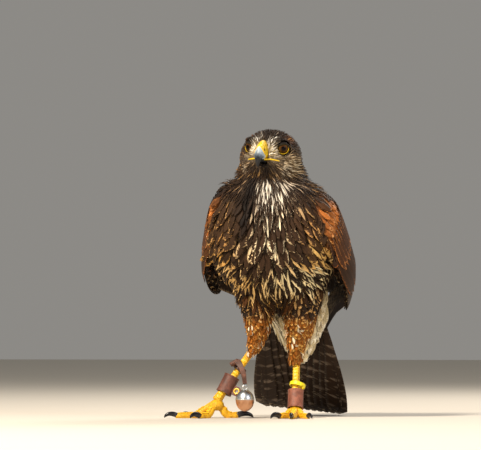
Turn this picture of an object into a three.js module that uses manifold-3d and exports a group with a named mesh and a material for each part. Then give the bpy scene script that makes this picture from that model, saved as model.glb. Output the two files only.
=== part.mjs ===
// A young Harris hawk, standing, as a still life-size museum model: the flesh and plumage as smooth
// closed solids, with eyes, bill, claws and what the bird wears as pieces of their own.
// Millimetres. +Z is up, the bird faces -Y, and +X is the bird's own left. The floor is z = 0.

import * as THREE from "three";
import { mergeVertices } from "three/addons/utils/BufferGeometryUtils.js";
import Module from "manifold-3d";

const wasm = await Module();
wasm.setup();

// Driving dimensions

const GAP = 0.3; // clearance between pieces that touch
const ORIGIN = { x: -18.2, y: 48.4 }; // middle of the whole bird's plan, which becomes the part's origin

// The head has a frame of its own: s to the bird's left, f forward, u up, from the skull's middle.
const HEAD = {
  centre: [1.5, -44, 295.6],
  turn: 8, // degrees to the bird's right
  pitch: 6, // degrees down
  roll: 3, // degrees, left side down
  skull: { s: 36.5, f: 36, u: 34.5 },
  face: { s: 20, f: 22, u: 18.5, forward: 15, up: 9 },
  jowl: { s: 38, f: 34, u: 27, forward: -3, up: -14 },
};
const EYE = { radius: 9, forward: 12.6, aside: 16.8, up: 14.6 };
const ORBIT = { radius: 10, forward: 20.5, aside: 23.2, up: 14.4 }; // the hollow round the eye
const BROW = { forward: 18.5, aside: 19, up: 22.5, length: 11.5, thick: 4.6, splay: -48 };

// Sections of the neck and trunk, each from a front point to a back point as [y, z], with the half width
// across and how boxy the section is (2 is an ellipse). The last ones lie aside, over the swung tail.
const CORE = [
  { front: [-58, 300], back: [-18, 312], half: 24, power: 2 },
  { front: [-70, 284], back: [-6, 298], half: 36, power: 2 },
  { front: [-77, 266], back: [8, 282], half: 47, power: 2.1 },
  { front: [-82, 247], back: [24, 266], half: 61, power: 2.2 },
  { front: [-83, 226], back: [41, 247], half: 71, power: 2.3 },
  { front: [-79, 204], back: [55, 224], half: 75, power: 2.4 },
  { front: [-72, 182], back: [66, 200], half: 75, power: 2.4 },
  { front: [-61, 162], back: [75, 177], half: 68, power: 2.3 },
  { front: [-45, 145], back: [82, 155], half: 55, power: 2.2 },
  { front: [-20, 132], back: [88, 138], half: 42, power: 2.1 },
  { front: [14, 118], back: [96, 124], half: 34, power: 2, aside: 9 },
  { front: [48, 96], back: [106, 108], half: 30, power: 2, aside: 15 },
  { front: [80, 72], back: [116, 94], half: 21, power: 2, aside: 14 },
  { front: [98, 60], back: [122, 84], half: 7, power: 2, aside: 13 },
];
const NECK = { top: [-40, 280.5], bottom: [-30, 260.5], slope: 9 }; // where the neck is parted, degrees

// Each wing is a curved plate between a lower front edge and an upper back edge, from the wrist at the
// shoulder to the tip over the tail. Points are for the left wing.
const WING = {
  lower: [
    [47, -58, 247],
    [64, -58, 214],
    [74, -45, 182],
    [83, -20, 154],
    [79, 18, 131],
    [60, 62, 120],
    [34, 112, 88],
    [12, 158, 50],
  ],
  upper: [
    [38, -24, 268],
    [44, 8, 262],
    [44, 36, 244],
    [42, 60, 216],
    [38, 80, 184],
    [30, 99, 150],
    [20, 127, 106],
    [9, 164, 60],
  ],
  bulge: [17, 20, 22, 23, 18, 11, 6, 2],
  thick: [20, 18, 15, 12, 9, 7, 5, 3],
  parted: 0.62, // where the long primaries leave the coverts, as a share of the wing's length
};
// The wings are held unlike each other: this one droops, and that one is drawn up and back.
const LEFT_WING = { drop: 5, shift: 2, lift: 0, swing: 0 };
const RIGHT_WING = { drop: -2.5, shift: -4, lift: 9, swing: 2.5 }; // degrees about the wrist

const TAIL = {
  root: [13, 60, 132],
  tip: [3, 190, 2.4],
  halfWidth: [35, 43, 49, 53, 55],
  thick: [7, 5, 4, 3.4, 2.6],
  arch: 7, // how far the middle stands above the edges
  roll: 8, // degrees, left side down
  roundTip: 10, // how far the middle feathers pass the outer ones
};

// Each leg: a feathered thigh in sections, a bare shank, and a foot with four toes.
const LEGS = {
  left: {
    thigh: [
      { at: [31, 0, 168], side: 24, deep: 34 },
      { at: [31, 3, 140], side: 24, deep: 31 },
      { at: [27, 9, 113], side: 20, deep: 25 },
      { at: [22.5, 16, 90], side: 14, deep: 18 },
      { at: [19.5, 20, 70], side: 8.5, deep: 11.5 },
      { at: [18.6, 21, 59], side: 6.2, deep: 7.2 },
    ],
    heel: [19.5, 33, 93],
    foot: [22, 3, 13],
    toes: { inner: -26, middle: 4, outer: 32, hind: 190 }, // degrees from -Y towards +X
  },
  right: {
    thigh: [
      { at: [-29, 0, 168], side: 24, deep: 34 },
      { at: [-26, 1, 140], side: 21.5, deep: 29 },
      { at: [-21.5, 4, 114], side: 17, deep: 23 },
      { at: [-23, 9, 92], side: 12, deep: 15 },
      { at: [-29, 9, 77], side: 7.6, deep: 9 },
      { at: [-32.5, 9.5, 71], side: 6.2, deep: 6.6 },
    ],
    heel: [-22, 17, 90],
    foot: [-69, -2, 20],
    toes: { inner: -28, middle: -70, outer: -110, hind: 104 },
  },
};
const SHANK = { side: 4.2, deep: 5, swell: [1.25, 1.05, 0.96, 0.95, 1, 1.12, 1.35] };
// Toe lengths are to the root of the claw.
const TOES = {
  inner: { length: 33, thick: 4.6, claw: 22 },
  middle: { length: 48, thick: 4.8, claw: 18 },
  outer: { length: 38, thick: 4.3, claw: 15 },
  hind: { length: 25, thick: 4.9, claw: 24 },
};
const PADS = [1.15, 1.02, 0.9, 0.98, 0.84, 0.92, 0.78, 0.86, 0.62]; // a toe's thickness on its way
const SOLE = 0.5; // how much of a toe is flattened where it bears on the floor
const PALM = { radius: 8.6, deep: 6.6, below: 5 }; // below is how far its middle lies under the ankle
// A claw's curve as [share of its length, height over the toe's end], and its radius on the way.
const CLAW_RISE = [
  [0.18, 1.9],
  [0.42, 1.9],
  [0.62, 0.2],
];
const CLAW_POINT = { share: 0.72, high: 0.9 };
const CLAW_SIZE = [2.7, 2.6, 2.1, 1.5, 0.55];

const ANKLET = { inner: 7.4, outer: 8.9, height: 22, lip: 0.7 };
const ANKLET_AT = { left: 0.895, right: 0.74 }; // how far down the shank its middle lies
const ANKLET_TILT = { left: 0, right: -8 }; // degrees off the shank
const TAB = { reach: 4.8, wide: 11, thick: 2.6, low: 3, turn: { left: 125, right: -14 } };
const EYELET = { inner: 2, outer: 4, barrel: 1 };
const RING = { inner: 7.7, outer: 9.2, height: 4.4, at: 0.69, tilt: 12, aside: [1.9, -1.2, 0] };
const BELL = { radius: 10.6, tall: 12.6, wall: 0.9, slot: 1.8, hole: 1.6, at: [-34.2, -12, 20.5] };
const PEA = { radius: 3, below: 7.9 };
const LOOP = { radius: 2.6, wire: 0.8, above: 2.2, turn: 30 };
const STRAP = { wide: 7, thick: 1.6, at: 0.47, inner: 6.4, tilt: 10 };
// The strap's hanging end runs from the button to the bell's loop.
const HANGING = {
  from: [
    [-44.6, -6.2, 66],
    [-39.6, -11, 60.5],
    [-35.8, -13, 51],
  ],
  above: 6.2,
  across: [0.86, 0.2, 0.46],
  narrowing: 0.3,
};
const BUTTON = { at: [-48.4, -1.8, 64], radius: 3, length: 5, rise: 30 };

// Colours are the real surfaces' own, as seen in daylight.
const finish = (color, roughness, metalness = 0) =>
  new THREE.MeshStandardMaterial({ color, roughness, metalness });
const MATERIALS = {
  darkPlumage: finish(0x3a2a20, 0.85),
  wingPlumage: finish(0x5a3420, 0.8),
  tailPlumage: finish(0x33261e, 0.75),
  legPlumage: finish(0x9a5a2c, 0.85),
  eye: finish(0x2a150b, 0.08),
  cere: finish(0xf2c400, 0.5),
  horn: finish(0x8fa0ae, 0.35),
  skin: finish(0xf0b400, 0.6),
  claw: finish(0x1c1d22, 0.25),
  leather: finish(0x5f3a30, 0.6),
  brass: finish(0xb8962e, 0.35, 1),
  yellowRing: finish(0xe6d21a, 0.45),
  silver: finish(0xb9bec2, 0.25, 1),
  copper: finish(0xc9895c, 0.3, 1),
};

// Solids from three.js geometry

const rad = THREE.MathUtils.degToRad;
const vec = (a) => new THREE.Vector3(...a);

// A closed geometry as a solid, turned the right way out if its mapping turned it over.
function solid(geometry) {
  const g = geometry.clone();
  g.deleteAttribute("normal");
  g.deleteAttribute("uv");
  const merged = mergeVertices(g, 1e-4);
  const place = merged.attributes.position.array;
  const all = Array.from(merged.index.array);
  const corners = [];
  for (let i = 0; i < all.length; i += 3) {
    const [a, b, c] = [all[i], all[i + 1], all[i + 2]];
    if (a !== b && b !== c && a !== c) corners.push(a, b, c);
  }
  const at = (i) => new THREE.Vector3().fromArray(place, 3 * i);
  let volume = 0;
  for (let i = 0; i < corners.length; i += 3)
    volume += at(corners[i]).dot(at(corners[i + 1]).cross(at(corners[i + 2])));
  if (volume < 0)
    for (let i = 0; i < corners.length; i += 3)
      [corners[i + 1], corners[i + 2]] = [corners[i + 2], corners[i + 1]];
  const mesh = new wasm.Mesh({
    numProp: 3,
    vertProperties: new Float32Array(place),
    triVerts: new Uint32Array(corners),
  });
  return new wasm.Manifold(mesh);
}

const join = (...solids) => solids.reduce((a, b) => a.add(b));
const cut = (whole, ...tools) => tools.reduce((a, b) => a.subtract(b), whole);

// The largest body of a solid, without the slivers that a cut can leave.
const largest = (whole) =>
  whole.decompose().reduce((a, b) => (a.volume() > b.volume() ? a : b));

// A value between the numbers of a list spread evenly from 0 to 1.
function along(list, t) {
  const at = THREE.MathUtils.clamp(t, 0, 1) * (list.length - 1);
  const low = Math.min(Math.floor(at), list.length - 2);
  const share = THREE.MathUtils.smoothstep(at - low, 0, 1) * 0.4 + (at - low) * 0.6;
  return list[low] + (list[low + 1] - list[low]) * share;
}

const curveOf = (points) => new THREE.CatmullRomCurve3(points.map(vec), false, "centripetal");

function ellipsoid([x, y, z], [a, b, c], detail = [18, 12]) {
  const g = new THREE.SphereGeometry(1, ...detail);
  g.rotateX(Math.PI / 2); // the poles lie fore and aft
  return solid(g.scale(a, b, c).translate(x, y, z));
}

// A closed tube whose section at t has the given middle, half-width vector, half-depth vector and power.
// A taper makes it narrower on the side that the depth points to, and wider on the other.
function loft(section, aroundCount, alongCount) {
  const g = new THREE.CylinderGeometry(1, 1, 1, aroundCount, alongCount);
  const p = g.attributes.position;
  for (let i = 0; i < p.count; i++) {
    const t = 0.5 - p.getY(i);
    const reach = Math.hypot(p.getX(i), p.getZ(i));
    const angle = Math.atan2(p.getZ(i), p.getX(i));
    const { middle, side, deep, power = 2, taper = 0 } = section(THREE.MathUtils.clamp(t, 0, 1));
    const snapped = (v) => (Math.abs(v) < 1e-6 || reach < 0.5 ? 0 : v);
    const [c, s] = [snapped(Math.cos(angle)), snapped(Math.sin(angle))];
    const round = (v) => Math.sign(v) * Math.abs(v) ** (2 / power);
    const spot = middle.clone().addScaledVector(side, round(c) * (1 - taper * round(s)));
    spot.addScaledVector(deep, round(s));
    p.setXYZ(i, spot.x, spot.y, spot.z);
  }
  return solid(g);
}

// A closed plate over the unit square: spot(u, v) is its outer face, and depth(u, v) the way through it.
function plate(spot, depth, [uCount, vCount]) {
  const g = new THREE.BoxGeometry(1, 1, 1, uCount, vCount, 1);
  const p = g.attributes.position;
  for (let i = 0; i < p.count; i++) {
    const [u, v, outer] = [p.getX(i) + 0.5, p.getY(i) + 0.5, p.getZ(i) > 0];
    const at = spot(u, v);
    if (!outer) at.add(depth(u, v));
    p.setXYZ(i, at.x, at.y, at.z);
  }
  return solid(g);
}

// A round tube along a curve, with its radius at each share of the way.
function tube(curve, radius, aroundCount, alongCount, flat = 1) {
  return loft(
    (t) => {
      const tangent = curve.getTangent(t);
      const side = new THREE.Vector3().crossVectors(tangent, vec([0, 0, 1])).normalize();
      const up = new THREE.Vector3().crossVectors(side, tangent).normalize();
      const r = radius(t);
      return { middle: curve.getPoint(t), side: side.multiplyScalar(r), deep: up.multiplyScalar(r * flat) };
    },
    aroundCount,
    alongCount,
  );
}

// Keeps what lies above a plane through a point of the middle plane, sloping down towards the front.
function above(whole, [y, z], slope, offset) {
  const up = [0, Math.sin(rad(-slope)), Math.cos(rad(slope))];
  return whole.trimByPlane(up, up[1] * y + up[2] * z + offset);
}
function below(whole, [y, z], slope, offset) {
  const down = [0, Math.sin(rad(slope)), -Math.cos(rad(slope))];
  return whole.trimByPlane(down, down[1] * y + down[2] * z + offset);
}

// Head frame to the bird's frame.
const headMatrix = new THREE.Matrix4()
  .makeTranslation(...HEAD.centre)
  .multiply(new THREE.Matrix4().makeRotationZ(rad(-HEAD.turn)))
  .multiply(new THREE.Matrix4().makeRotationY(rad(HEAD.roll)))
  .multiply(new THREE.Matrix4().makeRotationX(rad(HEAD.pitch)));
const headPoint = (s, f, u) => new THREE.Vector3(s, -f, u).applyMatrix4(headMatrix);
const inHeadFrame = (made) => made.transform(headMatrix.elements);

// Neck and trunk

function coreSection(grow) {
  const sections = CORE.map(({ front, back, half, power, aside = 0 }) => ({
    front: vec([aside, ...front]),
    back: vec([aside, ...back]),
    half,
    power,
  }));
  const fronts = new THREE.CatmullRomCurve3(sections.map((s) => s.front), false, "centripetal");
  const backs = new THREE.CatmullRomCurve3(sections.map((s) => s.back), false, "centripetal");
  const halves = new THREE.CatmullRomCurve3(sections.map((s) => vec([s.half, s.power, 0])));
  return (t) => {
    const [front, back, wide] = [fronts.getPoint(t), backs.getPoint(t), halves.getPoint(t)];
    const deep = front.clone().sub(back).multiplyScalar(0.5);
    deep.setLength(deep.length() + grow);
    return {
      middle: front.clone().add(back).multiplyScalar(0.5),
      side: vec([Math.max(wide.x, 3) + grow, 0, 0]),
      deep,
      power: wide.y,
    };
  };
}
const core = (grow = 0) => loft(coreSection(grow), 16, 13);

// Head

function headSolid() {
  const { skull, face, jowl } = HEAD;
  const brow = (side) => {
    const g = new THREE.SphereGeometry(1, 6, 5);
    g.scale(BROW.thick, BROW.length, BROW.thick * 0.75);
    g.rotateZ(rad(side * BROW.splay)).translate(side * BROW.aside, -BROW.forward, BROW.up);
    return solid(g);
  };
  const orbit = (side) =>
    ellipsoid([side * ORBIT.aside, -ORBIT.forward, ORBIT.up], Array(3).fill(ORBIT.radius), [8, 5]);
  const whole = join(
    ellipsoid([0, 0, 0], [skull.s, skull.f, skull.u], [14, 8]),
    ellipsoid([0, -jowl.forward, jowl.up], [jowl.s, jowl.f, jowl.u], [10, 6]),
    ellipsoid([0, -face.forward, face.up], [face.s, face.f, face.u], [10, 6]),
    brow(1),
    brow(-1),
  );
  return inHeadFrame(cut(whole, orbit(1), orbit(-1)));
}

const eye = (side, grow = 0) =>
  inHeadFrame(
    ellipsoid([side * EYE.aside, -EYE.forward, EYE.up], Array(3).fill(EYE.radius + grow), [10, 6]),
  );

// Bill: sections from the cere to the hook, each from the culmen to the cutting edge, in the head frame.

const CULMEN = [
  [0, 27, 24.6],
  [0, 34, 24.2],
  [0, 40, 21.8],
  [0, 45.5, 17.4],
  [0, 49.5, 11.2],
  [0, 51.2, 4],
  [0, 50.6, -2.5],
  [0, 49.2, -6],
];
const EDGE = [
  [0, 22, 2.6],
  [0, 29, 2.2],
  [0, 35, 1.8],
  [0, 40, 2.2],
  [0, 43.6, 3.2],
  [0, 46, 1.4],
  [0, 47.4, -3],
  [0, 48.6, -6],
];
const BILL_HALF = [6.9, 6.2, 5.7, 5.3, 4.5, 3.2, 1.8, 0.9];
const BILL_TAPER = 0.36; // how much narrower its ridge is than its edges
const CERE_END = 0.4; // share of the bill that the cere covers
const HORN_UNDER_CERE = 0.28; // how far the horn stands below the cere's surface
const HORN_ROOT = 0.08; // share of the bill by which the horn reaches back under the cere
const LIP_LINE = [
  [3, -33, 6],
  [9.4, -31, 2.8],
  [15, -28, 1.6],
  [21, -24, 0.4],
];
const LOWER_BILL = {
  line: [
    [0, -18, -1.4],
    [0, -27, -1.4],
    [0, -35, -1],
    [0, -40.5, 0.2],
  ],
  half: [8, 7, 5.4, 2.6],
  tall: [3.6, 3.4, 2.8, 1.3],
};

function billPiece(from, to, grow, counts = [10, 8]) {
  const [tops, edges] = [curveOf(CULMEN), curveOf(EDGE)];
  return loft(
    (t) => {
      const at = from + (to - from) * t;
      const [top, edge] = [tops.getPoint(at), edges.getPoint(at)];
      const deep = top.clone().sub(edge).multiplyScalar(0.5);
      deep.setLength(Math.max(deep.length() + grow, 0.4));
      const half = along(BILL_HALF, at) + grow;
      const middle = top.clone().add(edge).multiplyScalar(0.5);
      const turned = (v) => vec([v.x, -v.y, v.z]);
      const wide = vec([half, 0, 0]);
      return { middle: turned(middle), side: wide, deep: turned(deep), power: 2.2, taper: BILL_TAPER };
    },
    ...counts,
  );
}

// The yellow lip on each side, from the bill's edge back to the corner of the gape.
function lip(side, grow) {
  const line = curveOf(LIP_LINE.map(([x, y, z]) => [side * x, y, z]));
  return tube(line, (t) => 1.5 - 0.5 * t + grow, 6, 4, 0.9);
}

function lowerBill(grow) {
  const line = curveOf(LOWER_BILL.line);
  return loft(
    (t) => ({
      middle: line.getPoint(t),
      side: vec([along(LOWER_BILL.half, t) + grow, 0, 0]),
      deep: vec([0, 0, along(LOWER_BILL.tall, t) + grow]),
      power: 2.3,
    }),
    8,
    4,
  );
}

const hornRaw = (grow) => billPiece(CERE_END - HORN_ROOT, 1, grow - HORN_UNDER_CERE);
const cereRaw = (grow) => join(billPiece(0, CERE_END, grow), lip(1, grow), lip(-1, grow));
const billMass = (grow) => join(billPiece(0, 1, grow), lip(1, grow), lip(-1, grow), lowerBill(grow));

// Wings

function wingSurface(side, hold) {
  const [lower, upper] = [curveOf(WING.lower), curveOf(WING.upper)];
  const wrist = vec([50, -40, 250]);
  // The lift fades out towards the tips, which rest on the tail.
  const set = (v, u) => {
    const turned = v
      .clone()
      .sub(wrist)
      .applyAxisAngle(vec([1, 0, 0]), rad(hold.lift * (1 - u ** 3)))
      .applyAxisAngle(vec([0, 1, 0]), rad(-hold.swing))
      .add(wrist);
    return vec([side * (turned.x + hold.shift), turned.y, turned.z - hold.drop]);
  };
  const raw = (u, v) => {
    const [low, high] = [lower.getPoint(u), upper.getPoint(u)];
    const outward = new THREE.Vector3()
      .crossVectors(high.clone().sub(low), lower.getTangent(u))
      .normalize();
    if (outward.x < 0) outward.negate();
    const round = Math.sin(Math.PI * THREE.MathUtils.clamp(v, 0, 1)) ** 0.75;
    return low.lerp(high, v).addScaledVector(outward, along(WING.bulge, u) * round);
  };
  const inward = (u, v) => {
    const e = 0.01;
    const [u0, u1] = [Math.max(u - e, 0), Math.min(u + e, 1)];
    const [v0, v1] = [Math.max(v - e, 0.02), Math.min(v + e, 0.98)];
    const n = new THREE.Vector3().crossVectors(
      raw(u1, v).sub(raw(u0, v)),
      raw(u, v1).sub(raw(u, v0)),
    );
    n.normalize();
    return n.x > 0 ? n.negate() : n;
  };
  const endward = (u) => lower.getTangent(u);
  return { raw, inward, set, endward };
}

function wing(side, hold, grow, from = 0, to = 1) {
  const { raw, inward, set, endward } = wingSurface(side, hold);
  const share = (u) => from + (to - from) * u;
  // The grown copy is a little larger all round, and also past its ends.
  const spread = (v) => (v - 0.5) * (1 + (2 * grow) / 60) + 0.5;
  const stretch = (u) => (u - 0.5) * (1 + (2 * grow) / 200) + 0.5;
  const outer = (u, v) => {
    const want = share(stretch(u));
    const at = THREE.MathUtils.clamp(want, 0, 1);
    return raw(at, spread(v))
      .addScaledVector(inward(at, v), -grow)
      .addScaledVector(endward(at), (want - at) * 300);
  };
  const through = (u, v) => {
    const at = THREE.MathUtils.clamp(share(stretch(u)), 0, 1);
    const rim = 0.35 + 0.65 * Math.sin(Math.PI * THREE.MathUtils.clamp(v, 0, 1));
    const nose = Math.min(1, 0.45 + at * 8); // the wrist is rounded off
    return inward(at, v).multiplyScalar(along(WING.thick, at) * rim * nose + 2 * grow);
  };
  return plate(
    (u, v) => set(outer(u, v), share(u)),
    (u, v) => set(outer(u, v).add(through(u, v)), share(u)).sub(set(outer(u, v), share(u))),
    [Math.round(14 * (to - from)), 8],
  );
}

// Tail: a shallow arched fan, its outer face the back of the bird.

function tail(grow) {
  const [root, tip] = [vec(TAIL.root), vec(TAIL.tip)];
  const run = tip.clone().sub(root);
  const away = run.clone().normalize();
  const across = vec([1, 0, 0]).applyAxisAngle(away, rad(TAIL.roll));
  const top = new THREE.Vector3().crossVectors(across, away).normalize();
  const spot = (u, v) => {
    const w = 2 * v - 1;
    const half = along(TAIL.halfWidth, u) + grow;
    const round = TAIL.roundTip * (1 - w * w) * u * u;
    return root
      .clone()
      .addScaledVector(away, u * (run.length() - TAIL.roundTip) + round + grow * (2 * u - 1))
      .addScaledVector(across, w * half)
      .addScaledVector(top, TAIL.arch * (1 - w * w) - TAIL.arch + along(TAIL.thick, u) / 2 + grow);
  };
  const depth = (u, v) => {
    const rim = 0.45 + 0.55 * Math.sin(Math.PI * v);
    return top.clone().multiplyScalar(-(along(TAIL.thick, u) * rim + 2 * grow));
  };
  return plate(spot, depth, [6, 8]);
}

// Legs

function thigh(leg) {
  const { thigh: rows } = LEGS[leg];
  const line = curveOf(rows.map((r) => r.at));
  const sizes = new THREE.CatmullRomCurve3(rows.map((r) => vec([r.side, r.deep, 0])));
  return loft(
    (t) => {
      const size = sizes.getPoint(t);
      return { middle: line.getPoint(t), side: vec([size.x, 0, 0]), deep: vec([0, size.y, 0]) };
    },
    11,
    6,
  );
}

function shank(leg, grow) {
  const { heel, foot } = LEGS[leg];
  const line = new THREE.LineCurve3(vec(heel), vec(foot));
  const tangent = line.getTangent(0);
  const side = new THREE.Vector3().crossVectors(tangent, vec([0, 1, 0])).normalize();
  const deep = new THREE.Vector3().crossVectors(side, tangent).normalize();
  return loft(
    (t) => ({
      middle: line.getPoint(t),
      side: side.clone().multiplyScalar(SHANK.side * along(SHANK.swell, t) + grow),
      deep: deep.clone().multiplyScalar(SHANK.deep * along(SHANK.swell, t) + grow),
      power: 2.3,
    }),
    8,
    4,
  );
}

// The way a toe points on the floor.
function toeWay(leg, toe) {
  const angle = rad(LEGS[leg].toes[toe]);
  return vec([Math.sin(angle), -Math.cos(angle), 0]);
}

const toeRadius = (toe, share) => TOES[toe].thick * along(PADS, share);

function toeLine(leg, toe) {
  const [x, y, high] = LEGS[leg].foot;
  const { length } = TOES[toe];
  const way = toeWay(leg, toe);
  const at = (share, z) => [x + way.x * length * share, y + way.y * length * share, z];
  const resting = (share) => toeRadius(toe, share) * Math.cos(Math.PI / 6) - SOLE;
  return curveOf([
    at(0.02, high - 3.5),
    at(0.25, high * 0.45 + 1.8),
    at(0.5, resting(0.5)),
    at(0.75, resting(0.75)),
    at(1, resting(1)),
  ]);
}

function toe(leg, name, grow = 0) {
  return tube(toeLine(leg, name), (t) => toeRadius(name, t) + grow, 6, 6);
}

// The whole foot, cut flat where it bears on the floor.
function foot(leg, grow = 0) {
  const [x, y, high] = LEGS[leg].foot;
  const [wide, deep] = [PALM.radius + grow, PALM.deep + grow];
  const palm = ellipsoid([x, y, high - PALM.below], [wide, wide, deep], [7, 5]);
  const whole = join(palm, ...Object.keys(TOES).map((name) => toe(leg, name, grow)));
  return whole.trimByPlane([0, 0, 1], grow ? -5 : 0);
}

// A claw leaves the toe's end, rises a little and hooks down until its point meets the floor.
function claw(leg, name, grow = 0) {
  const { length, claw: long } = TOES[name];
  const [x, y] = LEGS[leg].foot;
  const way = toeWay(leg, name);
  const root = toeRadius(name, 1);
  const at = (reach, z) => [x + way.x * (length + reach), y + way.y * (length + reach), z];
  const line = curveOf([
    at(-1.6, root + 0.5),
    ...CLAW_RISE.map(([share, rise]) => at(long * share, root + rise)),
    at(long * CLAW_POINT.share, CLAW_POINT.high),
  ]);
  return tube(line, (t) => along(CLAW_SIZE, t) * (long / 20) ** 0.5 + grow, 5, 4, 1.15);
}

// What the bird wears

// A frame at a share of the way down a shank: Z along it towards the heel, turned about it by degrees.
function shankMatrix(leg, share, turn = 0, tilt = 0) {
  const [heel, sole] = [vec(LEGS[leg].heel), vec(LEGS[leg].foot)];
  const up = heel.clone().sub(sole).normalize();
  const across = new THREE.Vector3().crossVectors(vec([0, 1, 0]), up).normalize();
  const back = new THREE.Vector3().crossVectors(up, across);
  return new THREE.Matrix4()
    .makeBasis(across, back, up)
    .setPosition(heel.clone().lerp(sole, share))
    .multiply(new THREE.Matrix4().makeRotationZ(rad(turn)))
    .multiply(new THREE.Matrix4().makeRotationY(rad(tilt)));
}

// A ring or cuff from its half section, turned about Z.
function turned(points, count = 11) {
  const closed = [...points, points[0]].map(([r, h]) => new THREE.Vector2(r, h));
  return solid(new THREE.LatheGeometry(closed, count).rotateX(Math.PI / 2));
}

function cuffProfile({ inner, outer, height, lip = 0 }, grow = 0) {
  const [r0, r1, h] = [inner - grow, outer + grow, height / 2 + grow];
  if (!lip)
    return [
      [r0, -h],
      [r1, -h],
      [r1, h],
      [r0, h],
    ];
  return [
    [r0 + lip, -h],
    [r1 + lip, -h],
    [r1, -h + 2 + grow],
    [r1, h - 2 - grow],
    [r1 + lip, h],
    [r0 + lip, h],
    [r0, h - 2.4],
    [r0, -h + 2.4],
  ];
}

const disc = (radius, thick) => solid(new THREE.CylinderGeometry(radius, radius, thick, 8));

// From a cuff's middle to its eyelet, which sits low on the cuff.
const EYELET_AT = [ANKLET.outer + TAB.reach, 0, -TAB.low];
const cuffMatrix = (leg) =>
  shankMatrix(leg, ANKLET_AT[leg], 0, ANKLET_TILT[leg]).multiply(
    new THREE.Matrix4().makeRotationZ(rad(TAB.turn[leg])),
  );

function anklet(leg) {
  const [reach, , low] = EYELET_AT;
  const cuff = turned(cuffProfile(ANKLET));
  const strip = new THREE.BoxGeometry(TAB.reach + 1.2, TAB.thick, TAB.wide);
  const tab = solid(strip.translate(reach - (TAB.reach + 1.2) / 2, 0, low));
  const corner = disc(TAB.wide / 2, TAB.thick).translate(...EYELET_AT);
  const hole = disc(EYELET.inner + EYELET.barrel + GAP, 20).translate(...EYELET_AT);
  const seat = disc(EYELET.outer + GAP, 20);
  const pressed = (way) => seat.translate(reach, way * (10 + TAB.thick / 2 - 0.3), low);
  return cut(join(cuff, tab, corner), hole, pressed(1), pressed(-1)).transform(
    cuffMatrix(leg).elements,
  );
}

// A brass eyelet: a short barrel with a rolled flange on each face of the tab.
function eyelet(leg) {
  const half = TAB.thick / 2;
  const [r0, r1, r2] = [EYELET.inner, EYELET.inner + EYELET.barrel, EYELET.outer];
  const body = turned(
    [
      [r0, -half - 0.5],
      [r0 + 0.8, -half - 0.9],
      [r2, -half - 0.3],
      [r2, -half + 0.3 - GAP],
      [r1, -half + 0.3 - GAP],
      [r1, half - 0.3 + GAP],
      [r2, half - 0.3 + GAP],
      [r2, half + 0.3],
      [r0 + 0.8, half + 0.9],
      [r0, half + 0.5],
    ],
    8,
  ).rotate([90, 0, 0]);
  return body.translate(...EYELET_AT).transform(cuffMatrix(leg).elements);
}

const legRing = () =>
  turned(cuffProfile(RING)).transform(
    new THREE.Matrix4()
      .makeTranslation(...RING.aside)
      .multiply(shankMatrix("left", RING.at, 0, RING.tilt)).elements,
  );

// The bell: a silver crown over a copper bowl, thin walled, with a slot under it that ends in two holes.
function bellShell(half) {
  const { radius, tall, wall } = BELL;
  const arcSteps = 4;
  const arc = (shrink, from, to) =>
    Array.from({ length: arcSteps + 1 }, (_, i) => {
      const a = rad(from + ((to - from) * i) / arcSteps);
      return [Math.max((radius - shrink) * Math.cos(a), 0), (tall - shrink) * Math.sin(a)];
    });
  const [from, to] = half === "crown" ? [7, 90] : [5.6, -90];
  const shape = [...arc(0, from, to), ...arc(wall, from, to).reverse()];
  return turned(shape, 12);
}

function bellBowl() {
  const { radius, tall, slot, hole } = BELL;
  const slit = solid(new THREE.BoxGeometry(2 * radius * 0.93, slot, tall).translate(0, 0, -tall * 0.72));
  const ends = solid(new THREE.CylinderGeometry(hole, hole, 3 * radius, 6).rotateZ(Math.PI / 2)).translate(
    0,
    0,
    -tall * 0.2,
  );
  return cut(bellShell("bowl"), slit, ends).rotate([0, 0, -12]).translate(...BELL.at);
}
const bellCrown = () => bellShell("crown").translate(...BELL.at);
const bellPea = () =>
  ellipsoid([BELL.at[0], BELL.at[1], BELL.at[2] - PEA.below], Array(3).fill(PEA.radius), [7, 5]);

function bellLoop() {
  const [x, y, z] = BELL.at;
  const ring = new THREE.TorusGeometry(LOOP.radius, LOOP.wire, 5, 9);
  return solid(ring.rotateY(rad(LOOP.turn))).translate(x, y, z + BELL.tall + LOOP.above);
}

// Leather strip that holds the bell: a loop round the shank, a button over it and the hanging end.
function strapLoop() {
  const { inner, thick, wide, at, tilt } = STRAP;
  const loop = turned(cuffProfile({ inner, outer: inner + thick, height: wide }));
  return loop.transform(shankMatrix("right", at, 0, tilt).elements);
}

function strapButton() {
  const roll = new THREE.CapsuleGeometry(BUTTON.radius, BUTTON.length, 2, 8);
  return solid(roll.rotateZ(Math.PI / 2).rotateY(rad(-BUTTON.rise)).translate(...BUTTON.at));
}

function hangingStrap() {
  const [x, y, z] = BELL.at;
  const line = curveOf([...HANGING.from, [x, y, z + BELL.tall + HANGING.above]]);
  const across = vec(HANGING.across).normalize();
  return loft(
    (t) => {
      const through = new THREE.Vector3().crossVectors(line.getTangent(t), across).normalize();
      return {
        middle: line.getPoint(t),
        side: across.clone().multiplyScalar((STRAP.wide / 2) * (1 - HANGING.narrowing * t)),
        deep: through.multiplyScalar(STRAP.thick / 2),
        power: 6,
      };
    },
    8,
    6,
  );
}

// Assembly: pieces that touch are cut by slightly grown copies of their neighbours.

const group = new THREE.Group();
group.name = "harris_hawk";
const shifted = new THREE.Group();
shifted.position.set(-ORIGIN.x, -ORIGIN.y, 0);
group.add(shifted);

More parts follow.
